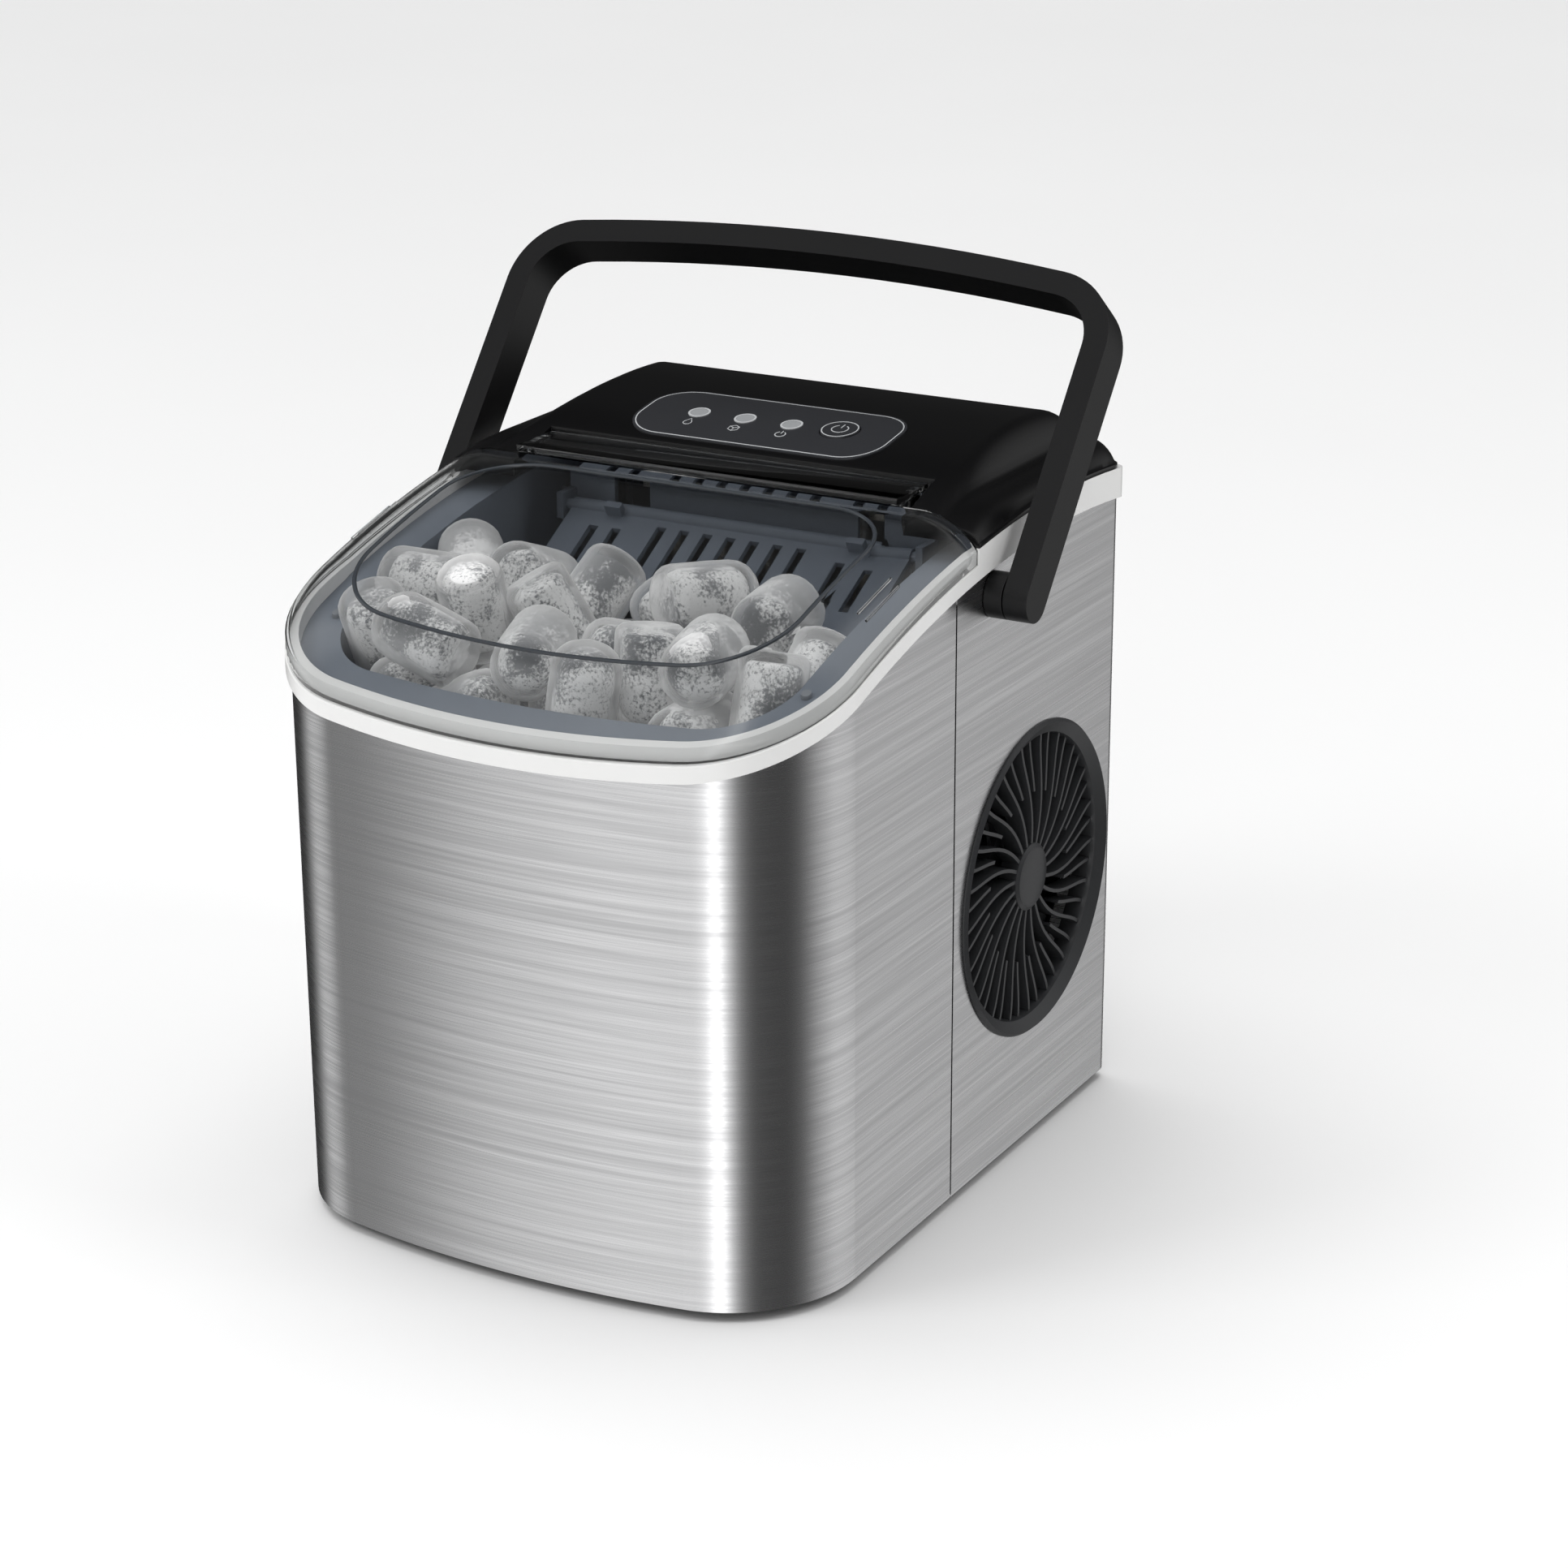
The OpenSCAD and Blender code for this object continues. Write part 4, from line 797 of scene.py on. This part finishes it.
def settle_bullets(count, seed=11):
    """Drops capsules to the ice level and lets them push each other apart. Returns their two end centres."""
    rng = np.random.default_rng(seed)
    r = BULLET_R - 0.3
    reach = BULLET_L / 2 - r * 0.8
    spread = ((-66, 66), (-90, -30), (160, 330))
    centre = np.column_stack([rng.uniform(low, high, count) for low, high in spread])
    way = rng.normal(size=(count, 3)) * (1.0, 1.0, 0.55)
    way /= np.linalg.norm(way, axis=1)[:, None]
    ends = np.stack([centre - way * reach, centre + way * reach], axis=1)
    i, j = np.triu_indices(count, 1)
    for step in range(420):
        ends[:, :, 2] -= 0.9 if step < 340 else 0.25
        for _ in range(3):
            a0, a1, b0, b1 = ends[i, 0], ends[i, 1], ends[j, 0], ends[j, 1]
            u, v, w = a1 - a0, b1 - b0, a0 - b0
            uu, uv, vv = (u * u).sum(1), (u * v).sum(1), (v * v).sum(1)
            uw, vw = (u * w).sum(1), (v * w).sum(1)
            den = np.maximum(uu * vv - uv * uv, 1e-6)
            s = np.clip((uv * vw - vv * uw) / den, 0, 1)
            t = np.clip((uv * s + vw) / vv, 0, 1)
            s = np.clip((uv * t - uw) / uu, 0, 1)
            gap = (a0 + u * s[:, None]) - (b0 + v * t[:, None])
            far = np.linalg.norm(gap, axis=1)
            push = np.maximum(2 * r - far, 0) * 0.42
            push = (gap / np.maximum(far, 1e-6)[:, None]) * push[:, None]
            for body, along, sign in ((i, s, 0.5), (j, t, -0.5)):
                np.add.at(ends[:, 0], body, push * (sign * (1 - along) * 1.3)[:, None])
                np.add.at(ends[:, 1], body, push * (sign * along * 1.3)[:, None])
            over = ends[:, :, 2] > BASKET_RIM
            wide = np.where(over, 79.5, 73.0)
            ends[:, :, 0] = np.clip(ends[:, :, 0], -wide, wide)
            front = np.where(over, -101.0, -94.0) + (ends[:, :, 0] / 75.0) ** 2 * 7.0
            ends[:, :, 1] = np.clip(ends[:, :, 1], front, -24.0)
            corner = 62.0 + np.where(over, 4.0, 0.0)
            edge = np.maximum(np.abs(ends[:, :, 0]) - corner, 0)
            ends[:, :, 1] = np.maximum(ends[:, :, 1], front + edge * 0.6)
            ends[:, :, 2] = np.maximum(ends[:, :, 2], ICE_FLOOR + r)
            axis = ends[:, 1] - ends[:, 0]
            size = np.linalg.norm(axis, axis=1)[:, None]
            fix = axis / size * (size - 2 * reach) / 2
            ends[:, 0] += fix
            ends[:, 1] -= fix
    return ends


def bullet_mesh(radius, length, belly, segments=24):
    """A bullet of ice, spun about Z: a barrel with one full round end and one flatter end."""
    half = length / 2
    full, flat = radius * 0.72, radius * 0.32
    profile = [(0.0, -half)]
    for i in range(6):
        a = math.radians(-90 + 18 * i)
        profile.append((radius - full + full * math.cos(a), -half + full + full * math.sin(a)))
    profile.append((radius + belly, 0.0))
    for i in range(5):
        a = math.radians(22.5 * i)
        profile.append((radius - flat + flat * math.cos(a), half - flat + flat * math.sin(a)))
    profile.append((0.0, half))
    bm = bmesh.new()
    verts = [bm.verts.new((x * MM, 0.0, z * MM)) for x, z in profile]
    edges = [bm.edges.new(pair) for pair in zip(verts, verts[1:])]
    bmesh.ops.spin(bm, geom=verts + edges, cent=(0, 0, 0), axis=(0, 0, 1), dvec=(0, 0, 0), angle=math.tau,
                   steps=segments, use_merge=True, use_duplicate=False)
    bmesh.ops.remove_doubles(bm, verts=bm.verts, dist=0.02 * MM)
    bmesh.ops.recalc_face_normals(bm, faces=bm.faces)
    mesh = bpy.data.meshes.new("bullet_form")
    bm.to_mesh(mesh)
    bm.free()
    return mesh


def build_ice():
    """The top of a heap of ice bullets, each a clear shell round a frosted core."""
    ends = settle_bullets(64)
    shell = bullet_mesh(BULLET_R, BULLET_L, 0.15)
    core = bullet_mesh(BULLET_R * 0.74, BULLET_L * 0.78, 0.1, 20)
    kinds = (("ice_bullets", shell, ice_shell()), ("ice_cores", core, ice_core()))
    for name, form, material in kinds:
        bm = bmesh.new()
        for a, b in ends:
            turn = Vector(b - a).to_track_quat("Z", "Y").to_matrix().to_4x4()
            matrix = Matrix.Translation(Vector((a + b) / 2) * MM) @ turn
            first = len(bm.verts)
            bm.from_mesh(form)
            bm.verts.ensure_lookup_table()
            bmesh.ops.transform(bm, matrix=matrix, verts=bm.verts[first:])
        piece_from(bm, name, material, "ice_basket", (), sharp=60.0)


# ---------- putting it together ----------

# bevel widths in mm of the nodes that show, by how each is made
EDGES = {
    "base_tray": 0.4, "rubber_feet": 0.8, "vent_grille": 0.25, "control_overlay": 0.15, "indicator_lenses": 0.3,
    "power_button": 0.3, "handle": 2.0, "handle_pivots": 0.6, "inner_liner": 0.6, "ice_basket": 0.5,
    "mechanism_frame": 0.5, "drip_guard": 0.5, "shovel_brackets": 0.4, "ice_shovel": 0.4, "tray_bearings": 0.4,
    "water_tray": 0.4, "tray_motor": 0.5, "ice_full_sensors": 0.4, "water_pump": 0.5, "drain_fitting": 0.3,
    "drain_plug": 0.5, "compressor": 0.6, "fan_shroud": 0.5, "fan_blade": 0.3, "fan_motor": 0.5, "cord_gland": 0.5,
    "panel_screws": 0.2, "lid_bumpers": 0.4, "top_trim": 0.45,
}

slots = {s["node"]: s["material_slot"] for s in frame["record"]["subparts"]}
for node, thing in sorted(frame["nodes"].items()):
    thing.data.materials.clear()
    thing.data.materials.append(FINISHES[slots[node]])
    if node in EDGES:
        refined(node, FINISHES[slots[node]], EDGES[node])
build_lid()
window_line()
build_cover()
build_controls()
build_ice()
